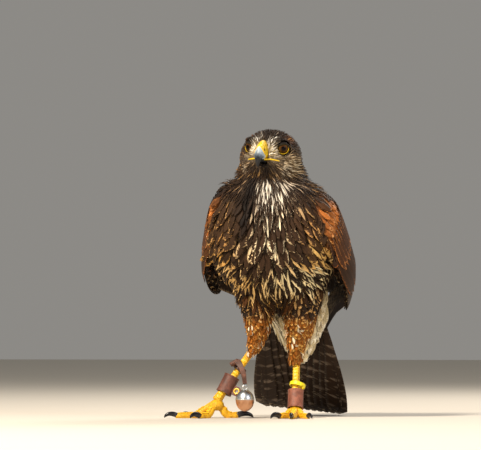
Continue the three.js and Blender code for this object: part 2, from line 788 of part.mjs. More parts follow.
function add(name, made, material) {
  const { vertProperties, triVerts, numProp, numVert } = largest(made).getMesh();
  const place = new Float32Array(numVert * 3);
  for (let i = 0; i < numVert; i++)
    place.set(vertProperties.subarray(i * numProp, i * numProp + 3), i * 3);
  const g = new THREE.BufferGeometry();
  g.setAttribute("position", new THREE.BufferAttribute(place, 3));
  g.setIndex(new THREE.BufferAttribute(triVerts, 1));
  g.computeVertexNormals();
  const mesh = new THREE.Mesh(g, material);
  mesh.name = name;
  shifted.add(mesh);
}

const holds = { left: LEFT_WING, right: RIGHT_WING };
const sideOf = { left: 1, right: -1 };
const coverts = (leg, grow = 0) => wing(sideOf[leg], holds[leg], grow, 0, WING.parted - 0.001);
const quills = (leg, grow = 0) => wing(sideOf[leg], holds[leg], grow, WING.parted + 0.001, 1);
const wingRoom = (leg) => join(coverts(leg, 2 * GAP), quills(leg, 2 * GAP));

const flesh = cut(
  join(core(), headSolid()),
  wingRoom("left"),
  wingRoom("right"),
  tail(GAP),
  inHeadFrame(billMass(GAP)),
  eye(1, GAP),
  eye(-1, GAP),
);
const { darkPlumage, wingPlumage, tailPlumage, legPlumage } = MATERIALS;
add("head", above(flesh, NECK.top, NECK.slope, GAP / 2), darkPlumage);
const neck = above(below(flesh, NECK.top, NECK.slope, GAP / 2), NECK.bottom, NECK.slope, GAP / 2);
add("neck", neck, darkPlumage);
add("trunk", below(flesh, NECK.bottom, NECK.slope, GAP / 2), darkPlumage);
add("tail", tail(0).trimByPlane([0, 0, 1], 0), tailPlumage);

add("cere", inHeadFrame(cut(cereRaw(0), hornRaw(GAP), lowerBill(GAP))), MATERIALS.cere);
add("bill_upper", inHeadFrame(cut(hornRaw(0), lowerBill(GAP))), MATERIALS.horn);
add("bill_lower", inHeadFrame(lowerBill(0)), MATERIALS.horn);

for (const leg of ["left", "right"]) {
  const side = sideOf[leg];
  add(`eye_${leg}`, eye(side), MATERIALS.eye);
  add(`wing_${leg}`, coverts(leg), wingPlumage);
  add(`primaries_${leg}`, cut(quills(leg), tail(GAP)), tailPlumage);
  const bare = shank(leg, GAP);
  const covered = cut(thigh(leg), core(GAP), wingRoom(leg), bare, tail(GAP));
  add(`thigh_${leg}`, covered, legPlumage);
  const toes = Object.keys(TOES);
  const claws = toes.map((name) => claw(leg, name, GAP));
  const cuffRoom = turned(cuffProfile(ANKLET, GAP)).transform(cuffMatrix(leg).elements);
  add(`foot_${leg}`, cut(foot(leg), bare, cuffRoom, ...claws), MATERIALS.skin);
  add(`shank_${leg}`, shank(leg, 0), MATERIALS.skin);
  for (const name of toes) add(`claw_${leg}_${name}`, claw(leg, name), MATERIALS.claw);
  add(`anklet_${leg}`, anklet(leg), MATERIALS.leather);
  add(`eyelet_${leg}`, eyelet(leg), MATERIALS.brass);
}

add("leg_ring", legRing(), MATERIALS.yellowRing);
add("bell_crown", bellCrown(), MATERIALS.silver);
add("bell_bowl", bellBowl(), MATERIALS.copper);
add("bell_pea", bellPea(), MATERIALS.copper);
add("bell_loop", bellLoop(), MATERIALS.silver);
add("bell_strap_loop", strapLoop(), MATERIALS.leather);
add("bell_strap_button", strapButton(), MATERIALS.leather);
add("bell_strap", hangingStrap(), MATERIALS.leather);

export default group;
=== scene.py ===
# %% [markdown]
# # A standing Harris hawk
# This lesson dresses a plain CAD bird in feathers. The CAD nodes give every size and place, and each
# step below makes one layer over them: skin, coat, flight feathers, bill, eyes, legs, and what it wears.
# The bird faces -Y with its left side towards +X, so a place on it reads the same in every step.

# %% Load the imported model
import math

import bmesh
import bpy
import numpy as np
from mathutils import Matrix, Vector
from mathutils.bvhtree import BVHTree
from mathutils.kdtree import KDTree


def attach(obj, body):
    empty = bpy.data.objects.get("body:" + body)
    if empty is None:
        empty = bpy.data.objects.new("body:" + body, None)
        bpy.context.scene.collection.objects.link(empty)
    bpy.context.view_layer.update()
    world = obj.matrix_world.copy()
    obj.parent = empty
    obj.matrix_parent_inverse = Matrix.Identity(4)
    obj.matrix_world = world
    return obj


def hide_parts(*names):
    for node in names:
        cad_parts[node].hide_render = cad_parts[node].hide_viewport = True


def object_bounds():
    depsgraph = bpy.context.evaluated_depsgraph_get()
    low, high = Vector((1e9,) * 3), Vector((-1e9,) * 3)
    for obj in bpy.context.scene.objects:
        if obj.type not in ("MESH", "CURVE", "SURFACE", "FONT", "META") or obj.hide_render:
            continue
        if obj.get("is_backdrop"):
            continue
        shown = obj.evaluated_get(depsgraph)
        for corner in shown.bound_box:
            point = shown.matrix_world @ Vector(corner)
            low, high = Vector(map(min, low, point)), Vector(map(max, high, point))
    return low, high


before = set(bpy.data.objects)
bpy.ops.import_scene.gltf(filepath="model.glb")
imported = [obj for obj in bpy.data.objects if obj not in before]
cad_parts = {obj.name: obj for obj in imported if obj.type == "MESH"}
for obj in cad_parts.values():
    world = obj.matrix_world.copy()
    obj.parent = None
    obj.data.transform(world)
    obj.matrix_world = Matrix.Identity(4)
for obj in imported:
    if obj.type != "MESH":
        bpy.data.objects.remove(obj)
cad_low, cad_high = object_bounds()
print("CAD box", [round(v, 4) for v in (*cad_low, *cad_high)])

# %% [markdown]
# ## Camera
# The picture was taken from far off with a long lens, nearly level, a little to the bird's left. One pixel
# shows 1.15 mm of the bird. An orthographic camera could fake a long lens, but a real perspective at 4.5 m
# keeps the slight shrinking of what lies behind, so the camera is placed and aimed by numbers.

# %% Camera at the picture's angle
MM = 0.001
PICTURE_WIDE, PICTURE_TALL = 481, 450
PIXEL = 1.15  # millimetres of the bird in one pixel
MIDDLE_COLUMN, FLOOR_ROW = 276, 418  # where the picture shows the bird's middle plane and the floor
AZIMUTH = math.radians(10)
CAMERA_FAR, CAMERA_HIGH = 4500, 100  # millimetres from the bird and above the floor
SENSOR = 36
ORIGIN = np.array([-18.2, 48.4, 0.0])  # the part's origin in the bird's own frame, in millimetres


def placed(points):
    """Points in the bird's own frame, in millimetres, as places in the part's frame, in metres."""
    return (np.asarray(points, float) - ORIGIN) * MM


def linked(name, data):
    """A new object in the scene."""
    made = bpy.data.objects.new(name, data)
    bpy.context.scene.collection.objects.link(made)
    return made


def aim_at(thing, way):
    """Turns a camera or a light to look along a direction."""
    thing.rotation_mode = "QUATERNION"
    thing.rotation_quaternion = Vector(way).to_track_quat("-Z", "Y")


camera_right = np.array([math.cos(AZIMUTH), math.sin(AZIMUTH), 0])
camera_back = np.array([math.sin(AZIMUTH), -math.cos(AZIMUTH), 0])
aim = camera_right * (PICTURE_WIDE / 2 - MIDDLE_COLUMN) * PIXEL
aim = aim + np.array([0, 0, (FLOOR_ROW - PICTURE_TALL / 2) * PIXEL])
eye_point = aim + camera_back * CAMERA_FAR + np.array([0, 0, CAMERA_HIGH - aim[2]])

camera_data = bpy.data.cameras.new("camera")
camera_data.sensor_width = SENSOR
camera_data.lens = SENSOR * float(np.linalg.norm(aim - eye_point)) / (PICTURE_WIDE * PIXEL)
camera_data.clip_end = 50
camera = linked("camera", camera_data)
camera.location = placed(eye_point)
aim_at(camera, aim - eye_point)
bpy.context.scene.camera = camera
bpy.context.scene.view_settings.view_transform = "Standard"
print("lens", round(camera_data.lens, 1), "mm")

# %% [markdown]
# ## Small tools
# Every finish is a node tree, so one helper adds a node with its settings and links, and one turns an sRGB
# hex code into the linear colour that a shader wants. Meshes with thousands of faces are filled from arrays
# in one call each, because Python loops over corners are slow.

# %% Tools for colours, nodes and meshes
RNG = np.random.default_rng(7)
MATH, NOISE, MIX, RAMP = "ShaderNodeMath", "ShaderNodeTexNoise", "ShaderNodeMix", "ShaderNodeValToRGB"
ATTRIBUTE, SPREAD, BUMP = "ShaderNodeAttribute", "ShaderNodeMapRange", "ShaderNodeBump"
SPLIT, JOIN, GREY = "ShaderNodeSeparateXYZ", "ShaderNodeCombineXYZ", "ShaderNodeCombineColor"
COORDINATES, VORONOI = "ShaderNodeTexCoord", "ShaderNodeTexVoronoi"
PLUS, TIMES, TIMES_PLUS = ({"operation": name} for name in ("ADD", "MULTIPLY", "MULTIPLY_ADD"))
SOFT = {"interpolation_type": "SMOOTHSTEP"}
RGBA = {"data_type": "RGBA"}
TINT = RGBA | {"blend_type": "MULTIPLY"}


def colour(code):
    """An sRGB hex code as a linear colour with full alpha."""
    parts = [int(code[i : i + 2], 16) / 255 for i in (0, 2, 4)]
    linear = [c / 12.92 if c <= 0.04045 else ((c + 0.055) / 1.055) ** 2.4 for c in parts]
    return (*linear, 1.0)


def tone(code):
    """The same colour as an array of three numbers, for mixing."""
    return np.array(colour(code)[:3])


def node(tree, kind, inputs=(), stops=(), **settings):
    """Adds a node. Inputs are values, outputs, or nodes for their first output, in order or by socket."""
    made = tree.nodes.new(kind)
    for name, value in settings.items():
        setattr(made, name, value)
    for socket, value in inputs.items() if isinstance(inputs, dict) else enumerate(inputs):
        if isinstance(value, bpy.types.Node):
            value = value.outputs[0]
        if isinstance(value, bpy.types.NodeSocket):
            tree.links.new(value, made.inputs[socket])
        else:
            made.inputs[socket].default_value = value
    for i, (place, code) in enumerate(stops):
        point = made.color_ramp.elements[i] if i < 2 else made.color_ramp.elements.new(place)
        point.position, point.color = place, colour(code)
    return made


def new_material(name):
    """An empty material and its tree."""
    made = bpy.data.materials.new(name)
    made.use_nodes = True
    made.node_tree.nodes.clear()
    return made, made.node_tree


def surfaced(made, inputs):
    """The material, closed with a Principled shader that takes these inputs."""
    shader = node(made.node_tree, "ShaderNodeBsdfPrincipled", inputs)
    node(made.node_tree, "ShaderNodeOutputMaterial", [shader])
    return made


def unit(vectors):
    """Vectors at length one."""
    return vectors / np.maximum(np.linalg.norm(vectors, axis=-1, keepdims=True), 1e-9)


def smooth(low, high, value):
    """A soft step from 0 at low to 1 at high."""
    share = np.clip((np.asarray(value, float) - low) / (high - low), 0, 1)
    return share * share * (3 - 2 * share)


def turning(degrees, axis):
    """A rotation about an axis."""
    return Matrix.Rotation(math.radians(degrees), 3, axis)


def mesh_object(name, points, faces, material, shade=True):
    """An object at the origin from points in the bird's frame and faces that all have as many corners."""
    faces = np.asarray(faces, np.int32)
    mesh = bpy.data.meshes.new(name)
    mesh.vertices.add(len(points))
    mesh.vertices.foreach_set("co", placed(points).astype(np.float32).ravel())
    mesh.loops.add(faces.size)
    mesh.loops.foreach_set("vertex_index", faces.ravel())
    mesh.polygons.add(len(faces))
    mesh.polygons.foreach_set("loop_start", np.arange(0, faces.size, faces.shape[1], dtype=np.int32))
    mesh.polygons.foreach_set("use_smooth", np.full(len(faces), shade))
    mesh.materials.append(material)
    mesh.update(calc_edges=True)
    return linked(name, mesh)


def store(piece, name, values):
    """Writes one value for each vertex: a number, a vector of three or a colour of four."""
    values = np.asarray(values, np.float32)
    kind = {1: "FLOAT", 3: "FLOAT_VECTOR", 4: "FLOAT_COLOR"}[1 if values.ndim == 1 else values.shape[1]]
    field = {"FLOAT": "value", "FLOAT_VECTOR": "vector", "FLOAT_COLOR": "color"}[kind]
    piece.data.attributes.new(name, kind, "POINT").data.foreach_set(field, values.ravel())


def finished(piece, slot, *nodes):
    """Makes a piece ride on the one body and stand for CAD nodes, if it replaces any. The slot is not used.
    """
    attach(piece, "root")
    if nodes:
        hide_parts(*nodes)
    print(piece.name, len(piece.data.polygons), "faces")


# %% [markdown]
# ## The bird's own shapes
# The CAD part was drawn with a few curves and frames: the head's turned frame, the two edges of each wing,
# and the fan of the tail. Feathers have to lie on those same surfaces, so the curves are worked out here
# again from the same driving sizes, which is exact where measuring the CAD's facets would be coarse.

# %% Curves and frames of the bird
HEAD_CENTRE = np.array([1.5, -44, 295.6])
HEAD_TURN, HEAD_PITCH, HEAD_ROLL = 8, 6, 3  # degrees: to its right, down, left side down
HEAD_AXES = np.array(turning(-HEAD_TURN, "Z") @ turning(HEAD_ROLL, "Y") @ turning(HEAD_PITCH, "X"))
FORWARD_IS_BACK = np.array([1, -1, 1])  # the head's frame counts forward, the bird's Y counts backward


def to_bird(points):
    """Places given as (side, forward, up) in the head's frame, in the bird's frame."""
    return HEAD_CENTRE + (np.asarray(points) * FORWARD_IS_BACK) @ HEAD_AXES.T


def in_head(points):
    """Places in the bird's frame as (side, forward, up) in the head's frame."""
    return ((np.asarray(points) - HEAD_CENTRE) @ HEAD_AXES) * FORWARD_IS_BACK


def line_through(points):
    """A smooth curve through points: a function from shares of the way to places."""
    knots = np.asarray(points, float)
    padded = np.vstack([2 * knots[0] - knots[1], knots, 2 * knots[-1] - knots[-2]])
    spans = np.linalg.norm(np.diff(padded, axis=0), axis=1) ** 0.5

    def place(share):
        at = np.clip(np.atleast_1d(np.asarray(share, float)), 0, 1) * (len(knots) - 1)
        low = np.minimum(at.astype(int), len(knots) - 2)
        t = (at - low)[:, None]
        a, b, c, d = (padded[low + i] for i in range(4))
        s0, s1, s2 = (spans[low + i][:, None] for i in range(3))
        leave = ((b - a) / s0 - (c - a) / (s0 + s1) + (c - b) / s1) * s1
        arrive = ((c - b) / s1 - (d - b) / (s1 + s2) + (d - c) / s2) * s1
        cubic = 2 * b - 2 * c + leave + arrive
        square = -3 * b + 3 * c - 2 * leave - arrive
        return b + leave * t + square * t**2 + cubic * t**3

    return place


def between(values, share):
    """A value between numbers that are spread evenly from 0 to 1."""
    return np.interp(share, np.linspace(0, 1, len(values)), values)


WING_LOWER = line_through(
    [(47, -58, 247), (64, -58, 214), (74, -45, 182), (83, -20, 154)]
    + [(79, 18, 131), (60, 62, 120), (34, 112, 88), (12, 158, 50)]
)
WING_UPPER = line_through(
    [(38, -24, 268), (44, 8, 262), (44, 36, 244), (42, 60, 216)]
    + [(38, 80, 184), (30, 99, 150), (20, 127, 106), (9, 164, 60)]
)
WING_BULGE = [17, 20, 22, 23, 18, 11, 6, 2]
WING_HELD = {
    "left": {"side": 1, "drop": 5, "shift": 2, "lift": 0, "swing": 0},
    "right": {"side": -1, "drop": -2.5, "shift": -4, "lift": 9, "swing": 2.5},
}
WRIST = np.array([50, -40, 250.0])
PAST_TIP = 300  # millimetres that one unit of u would reach beyond the wing's tip


def wing_place(wing, u, v):
    """Places on a wing's outer face: u from the wrist to the tip, v from the lower edge to the upper."""
    u, v = np.atleast_1d(u).astype(float), np.atleast_1d(v).astype(float)
    hold = WING_HELD[wing]
    inside = np.clip(u, 0, 1)
    low, high = WING_LOWER(inside), WING_UPPER(inside)
    along = WING_LOWER(np.clip(inside + 0.01, 0, 1)) - WING_LOWER(np.clip(inside - 0.01, 0, 1))
    outward = unit(np.cross(high - low, along))
    outward = outward * np.where(outward[:, :1] < 0, -1, 1)
    round_over = np.sin(np.pi * np.clip(v, 0, 1)) ** 0.75 * between(WING_BULGE, inside)
    spot = low + (high - low) * v[:, None] + outward * round_over[:, None]
    spot = spot + unit(along) * ((u - inside) * PAST_TIP)[:, None]
    lift, swing = np.radians(hold["lift"] * (1 - inside**3)), math.radians(-hold["swing"])
    x, y, z = (spot - WRIST).T
    y, z = y * np.cos(lift) - z * np.sin(lift), y * np.sin(lift) + z * np.cos(lift)
    x, z = x * math.cos(swing) + z * math.sin(swing), z * math.cos(swing) - x * math.sin(swing)
    spot = np.stack([x, y, z], 1) + WRIST
    spot[:, 0] = hold["side"] * (spot[:, 0] + hold["shift"])
    spot[:, 2] -= hold["drop"]
    return spot


def wing_outward(wing, u, v):
    """The way out of a wing's outer face."""
    v = np.clip(v, 0.03, 0.97)
    tipward = wing_place(wing, u + 0.01, v) - wing_place(wing, u - 0.01, v)
    upward = wing_place(wing, u, v + 0.02) - wing_place(wing, u, v - 0.02)
    out = unit(np.cross(tipward, upward))
    return out * np.where(out[:, :1] * WING_HELD[wing]["side"] < 0, -1, 1)


TAIL_ROOT, TAIL_TIP = np.array([13, 60, 132.0]), np.array([3, 190, 2.4])
TAIL_HALF = [35, 43, 49, 53, 55]
TAIL_ARCH, TAIL_ROLL, TAIL_ROUND = 7, 8, 10
TAIL_RUN = TAIL_TIP - TAIL_ROOT
TAIL_WAY = TAIL_RUN / np.linalg.norm(TAIL_RUN)
TAIL_ACROSS = np.array(turning(TAIL_ROLL, Vector(TAIL_WAY)) @ Vector((1, 0, 0)))
TAIL_OUT = unit(np.cross(TAIL_ACROSS, TAIL_WAY))


def tail_place(u, w):
    """Places on the tail's back: u from its root to its tip, w from its right edge (-1) to its left (1)."""
    length = np.linalg.norm(TAIL_RUN) - TAIL_ROUND
    down = u * length + TAIL_ROUND * (1 - w**2) * u**2
    spot = TAIL_ROOT + TAIL_WAY * down[:, None] + TAIL_ACROSS * (w * between(TAIL_HALF, u))[:, None]
    return spot - TAIL_OUT * (TAIL_ARCH * w**2)[:, None]


print("wing tip", np.round(wing_place("left", 1, 0.5)[0], 1))

# %% [markdown]
# ## One skin under the coat
# A real bird's skin runs unbroken from bill to toes, and the coat hides it almost everywhere. The CAD
# solids are parted where a person would name them, so copies are welded and remeshed in small voxels, which
# closes the cuts, then smoothed like clay and sunk by the coat's depth. Sculpting or subdividing the solids
# would keep their seams, so the remesh is the plainer way.

# %% Skin from the solids of flesh
FLESH = ["head", "neck", "trunk", "thigh_left", "thigh_right", "wing_left", "wing_right"]
SKIN_VOXEL = 1.7  # millimetres
SKIN_DEPTH = {"head": 1.6, "neck": 3.6, "trunk": 5.0, "thigh": 2.6, "wing": 2.0}  # millimetres of coat


def merged_copy(names):
    """The triangles of some CAD nodes, welded into one mesh."""
    work = bmesh.new()
    for name in names:
        work.from_mesh(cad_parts[name].data)
    bmesh.ops.remove_doubles(work, verts=work.verts, dist=1e-5)
    mesh = bpy.data.meshes.new("copy")
    work.to_mesh(mesh)
    work.free()
    return mesh


def applied(holder):
    """An object's mesh after its modifiers."""
    return bpy.data.meshes.new_from_object(holder.evaluated_get(bpy.context.evaluated_depsgraph_get()))


def remeshed(mesh, voxel):
    """The mesh as one closed surface of even quads."""
    helper = linked("helper", mesh)
    change = helper.modifiers.new("remesh", "REMESH")
    change.mode = "VOXEL"
    change.voxel_size = voxel * MM
    made = applied(helper)
    bpy.data.objects.remove(helper)
    return made


def coordinates(mesh):
    """A mesh's vertices in the bird's frame, in millimetres."""
    flat = np.empty(len(mesh.vertices) * 3, np.float32)
    mesh.vertices.foreach_get("co", flat)
    return flat.reshape(-1, 3).astype(float) / MM + ORIGIN


def corners_of(mesh):
    """Each face's vertices, where all faces have as many corners."""
    return np.array([tuple(p.vertices) for p in mesh.polygons], np.int32)


def edge_pairs(mesh):
    """Each edge's two vertices."""
    flat = np.empty(len(mesh.edges) * 2, np.int32)
    mesh.edges.foreach_get("vertices", flat)
    return flat.reshape(-1, 2)


def relaxed(values, edges, times):
    """Each vertex's value drawn half way to the mean of its neighbours', some times over."""
    values = values.copy()
    ends, starts = np.concatenate([edges, edges[:, ::-1]]).T
    count = np.maximum(np.bincount(ends, minlength=len(values)), 1)[:, None]
    for _ in range(times):
        totals = [np.bincount(ends, values[starts, i], len(values)) for i in range(values.shape[1])]
        values += 0.5 * (np.stack(totals, 1) / count - values)
    return values


def vertex_normals(points, quads):
    """A smooth outward direction at each vertex."""
    cross = np.cross(points[quads[:, 2]] - points[quads[:, 0]], points[quads[:, 3]] - points[quads[:, 1]])
    totals = np.zeros_like(points)
    for corner in range(4):
        for i in range(3):
            totals[:, i] += np.bincount(quads[:, corner], cross[:, i], len(points))
    return unit(totals)


def surface_tree(mesh):
    """A search tree over a mesh's faces, in the bird's frame."""
    return BVHTree.FromPolygons(coordinates(mesh).tolist(), corners_of(mesh).tolist())


def distances(points, name):
    """How far points are from the surface of a CAD node, in millimetres."""
    tree = surface_tree(merged_copy([name]))
    return np.array([tree.find_nearest(p)[3] for p in points.tolist()])


skin_mesh = remeshed(merged_copy(FLESH), SKIN_VOXEL)
skin_quads = corners_of(skin_mesh)
skin_edges = edge_pairs(skin_mesh)
skin = relaxed(coordinates(skin_mesh), skin_edges, 14)
print("skin", len(skin), "vertices")

# %% [markdown]
# ## Which part of the bird each place belongs to
# Feather sizes, lie and markings all change from part to part. Each vertex of the skin is given the CAD
# node it is nearest to, and the borders are blurred, so that everything read from these shares fades
# softly from one part into the next.

# %% Shares of head, neck, trunk, thighs and wings
nearest_part = np.argmin(np.stack([distances(skin, name) for name in FLESH], 1), 1)
SHARE = dict(zip(FLESH, relaxed(np.eye(len(FLESH))[nearest_part], skin_edges, 6).T))
depth = sum(SHARE[part] * SKIN_DEPTH[part.split("_")[0]] for part in FLESH)
in_face = in_head(skin)
front_of_face = smooth(8, 24, in_face[:, 1]) * smooth(-24, -8, in_face[:, 2]) * SHARE["head"]
depth = depth * (1 - 0.55 * front_of_face)
collar = smooth(262, 270, skin[:, 2]) * smooth(294, 284, skin[:, 2])
collar = collar * smooth(22, 34, np.abs(in_face[:, 0]))
depth = depth + 4.0 * collar * (1 - SHARE["wing_left"] - SHARE["wing_right"])
depth = depth - 1.4 * smooth(14, 24, -in_face[:, 0]) * SHARE["head"]
# Smoothing has shrunk the skin here and there, so each place is moved until it is the coat's depth inside.
union_tree = surface_tree(skin_mesh)
hits = [union_tree.find_nearest(p) for p in skin.tolist()]
stands_out = ((skin - np.array([h[0] for h in hits])) * np.array([h[1] for h in hits])).sum(1)
shift = relaxed((-depth - stands_out)[:, None], skin_edges, 8)
skin = relaxed(skin + vertex_normals(skin, skin_quads) * shift, skin_edges, 2)
skin_normals = vertex_normals(skin, skin_quads)
print({part: int((nearest_part == i).sum()) for i, part in enumerate(FLESH)})

# %% [markdown]
# ## The lie of the coat
# Feathers point away from the bill: back over the crown, down the breast and back, out along the wings and
# down the thighs. Each part gets a plain rule for its direction, the rules are mixed by the shares, and the
# mix is smoothed over the skin, so that the lie turns gradually as it does on a bird.

# %% Direction of the feathers on the skin
BILL_ROOT = to_bird([0, 32, 6])
SPREAD_HEIGHTS = [120, 150, 175, 205, 240, 290]  # heights on the breast, and how much the coat spreads there
SPREAD_AT = [-0.1, 0.5, 1.5, 1.1, 0.5, 0.35]


def tangent(vectors, normals):
    """Vectors laid flat on the surface, at length one."""
    return unit(vectors - normals * np.sum(vectors * normals, -1, keepdims=True))


def body_lie(points):
    """Down the body: spreading over the breast, gathering below it, and running back to the tail."""
    x, y, z = points.T
    front = np.stack([np.interp(z, SPREAD_HEIGHTS, SPREAD_AT) * x / 55, 0.1 + 0 * x, -1 + 0 * x], 1)
    vent = smooth(150, 118, z)[:, None]
    front = front * (1 - vent) + np.array([0, 0.7, -0.7]) * vent
    back = np.stack([-0.2 * x / 60, 0.5 + 0 * x, -0.87 + 0 * x], 1)
    behind = smooth(-20, 30, y)[:, None]
    return unit(front * (1 - behind) + back * behind)


def wing_lie(wing, points):
    """Along the wing's length, read from the nearest place of its middle line."""
    middle = wing_place(wing, np.linspace(0, 1, 60), np.full(60, 0.5))
    ways = unit(np.gradient(middle, axis=0))
    gaps = np.linalg.norm(points[:, None, :] - middle[None, :, :], axis=2)
    return ways[np.argmin(gaps, 1)]


lie = unit(skin - BILL_ROOT) * SHARE["head"][:, None]
neck_lie = unit(unit(skin - BILL_ROOT) + 1.2 * body_lie(skin))
lie += neck_lie * SHARE["neck"][:, None] + body_lie(skin) * SHARE["trunk"][:, None]
lie += np.array([0.02, 0.12, -1]) * SHARE["thigh_left"][:, None]
lie += np.array([-0.12, 0.1, -1]) * SHARE["thigh_right"][:, None]
for wing in ("left", "right"):
    lie += wing_lie(wing, skin) * SHARE[f"wing_{wing}"][:, None]
lie = tangent(lie, skin_normals)
for _ in range(6):
    lie = tangent(relaxed(lie, skin_edges, 3), skin_normals)
print("mean lie", np.round(lie.mean(0), 2))

# %% [markdown]
# ## The skin's own unwrap
# The bird's patterns can be baked onto a flat map. Smart UV projection breaks such an
# organic surface into thousands of scraps, so the skin is laid flat: each part's faces are grouped
# by the side they face, and these islands are packed side by side at one scale. Each feather later takes a
# small patch of the same map, at the place of its own root.

# %% Unwrap of the skin
BAKE_MAP = "OFBake"
ISLAND_GAP = 6  # millimetres of skin between islands


def packed(sizes, wide):
    """Corners for boxes set on shelves of one width, tallest first, and the height they fill."""
    corners = np.zeros_like(sizes)
    x = y = shelf = 0.0
    for i in np.argsort(-sizes[:, 1]):
        if x + sizes[i, 0] > wide:
            x, y, shelf = 0.0, y + shelf, 0.0
        corners[i] = x, y
        x, shelf = x + sizes[i, 0], max(shelf, sizes[i, 1])
    return corners, y + shelf


def unwrapped(points, quads):
    """The map's place of each face's corners, and how many millimetres the map is across."""
    slant = relaxed(vertex_normals(points, quads), skin_edges, 8)[quads].sum(1)
    axis = np.argmax(np.abs(slant), 1)
    side = slant[np.arange(len(slant)), axis] > 0
    island = nearest_part[quads[:, 0]] * 6 + axis * 2 + side
    flat = np.zeros((len(quads), 4, 2))
    names, members = np.unique(island, return_inverse=True)
    sizes = np.zeros((len(names), 2))
    for i, name in enumerate(names):
        mine = members == i
        kept = [k for k in range(3) if k != (name % 6) // 2]
        spots = points[quads[mine]][..., kept]
        low = spots.min((0, 1))
        flat[mine] = spots - low + ISLAND_GAP / 2
        sizes[i] = spots.max((0, 1)) - low + ISLAND_GAP
    widths = np.linspace(0.9, 1.6, 15) * math.sqrt(sizes.prod(1).sum())
    best = min(widths, key=lambda wide: max(wide, packed(sizes, wide)[1]))
    corners, tall = packed(sizes, best)
    across = max(best, tall)
    return (flat + corners[members][:, None]) / across, across


skin_map, map_across = unwrapped(skin, skin_quads)
skin_tree = BVHTree.FromPolygons(skin.tolist(), skin_quads.tolist())
face_normals = unit(skin_normals[skin_quads].sum(1))
face_lie = tangent(lie[skin_quads].sum(1), face_normals)
print("the map is", round(map_across), "mm of skin across")

# %% [markdown]
# ## Markings
# A young Harris hawk is dark brown above, streaked and fringed with cream and buff below, chestnut on the
# shoulders and rufous on the thighs. Real feathers carry this as a dark middle with paler edges, so a
# marking here is a set of values. They are painted on, one after another, from soft round regions, and
# skin and feathers both read them.

# %% Markings of any place on the bird
# The middle's colour, the fringe's colour, how wide the fringe is, the share of feathers that show it, how
# deep it is at the tip, and the share of feathers that are pale all over.
MARKS = ("ground", "fringe", "wide", "chance", "tip", "pale")
CREAM = ("e2d0a4", "f6ecd2", 0.5, 1, 0.3)


def near(points, centre, reach):
    """1 at a place, fading to 0 over a reach given along each axis."""
    return np.exp(-(((points - np.asarray(centre, float)) / np.asarray(reach, float)) ** 2).sum(1))


def painted(count, paints):
    """The marks after all paints. Each is a mask and the marks it brings, where None changes nothing."""
    look = {name: np.zeros((count, 3) if name in MARKS[:2] else count) for name in MARKS}
    for mask, *values in paints:
        mask = np.clip(mask, 0, 1)
        for name, value in zip(MARKS, values):
            if isinstance(value, str):
                look[name] += (tone(value) - look[name]) * mask[:, None]
            elif value is not None:
                look[name] += (value - look[name]) * mask
    return look


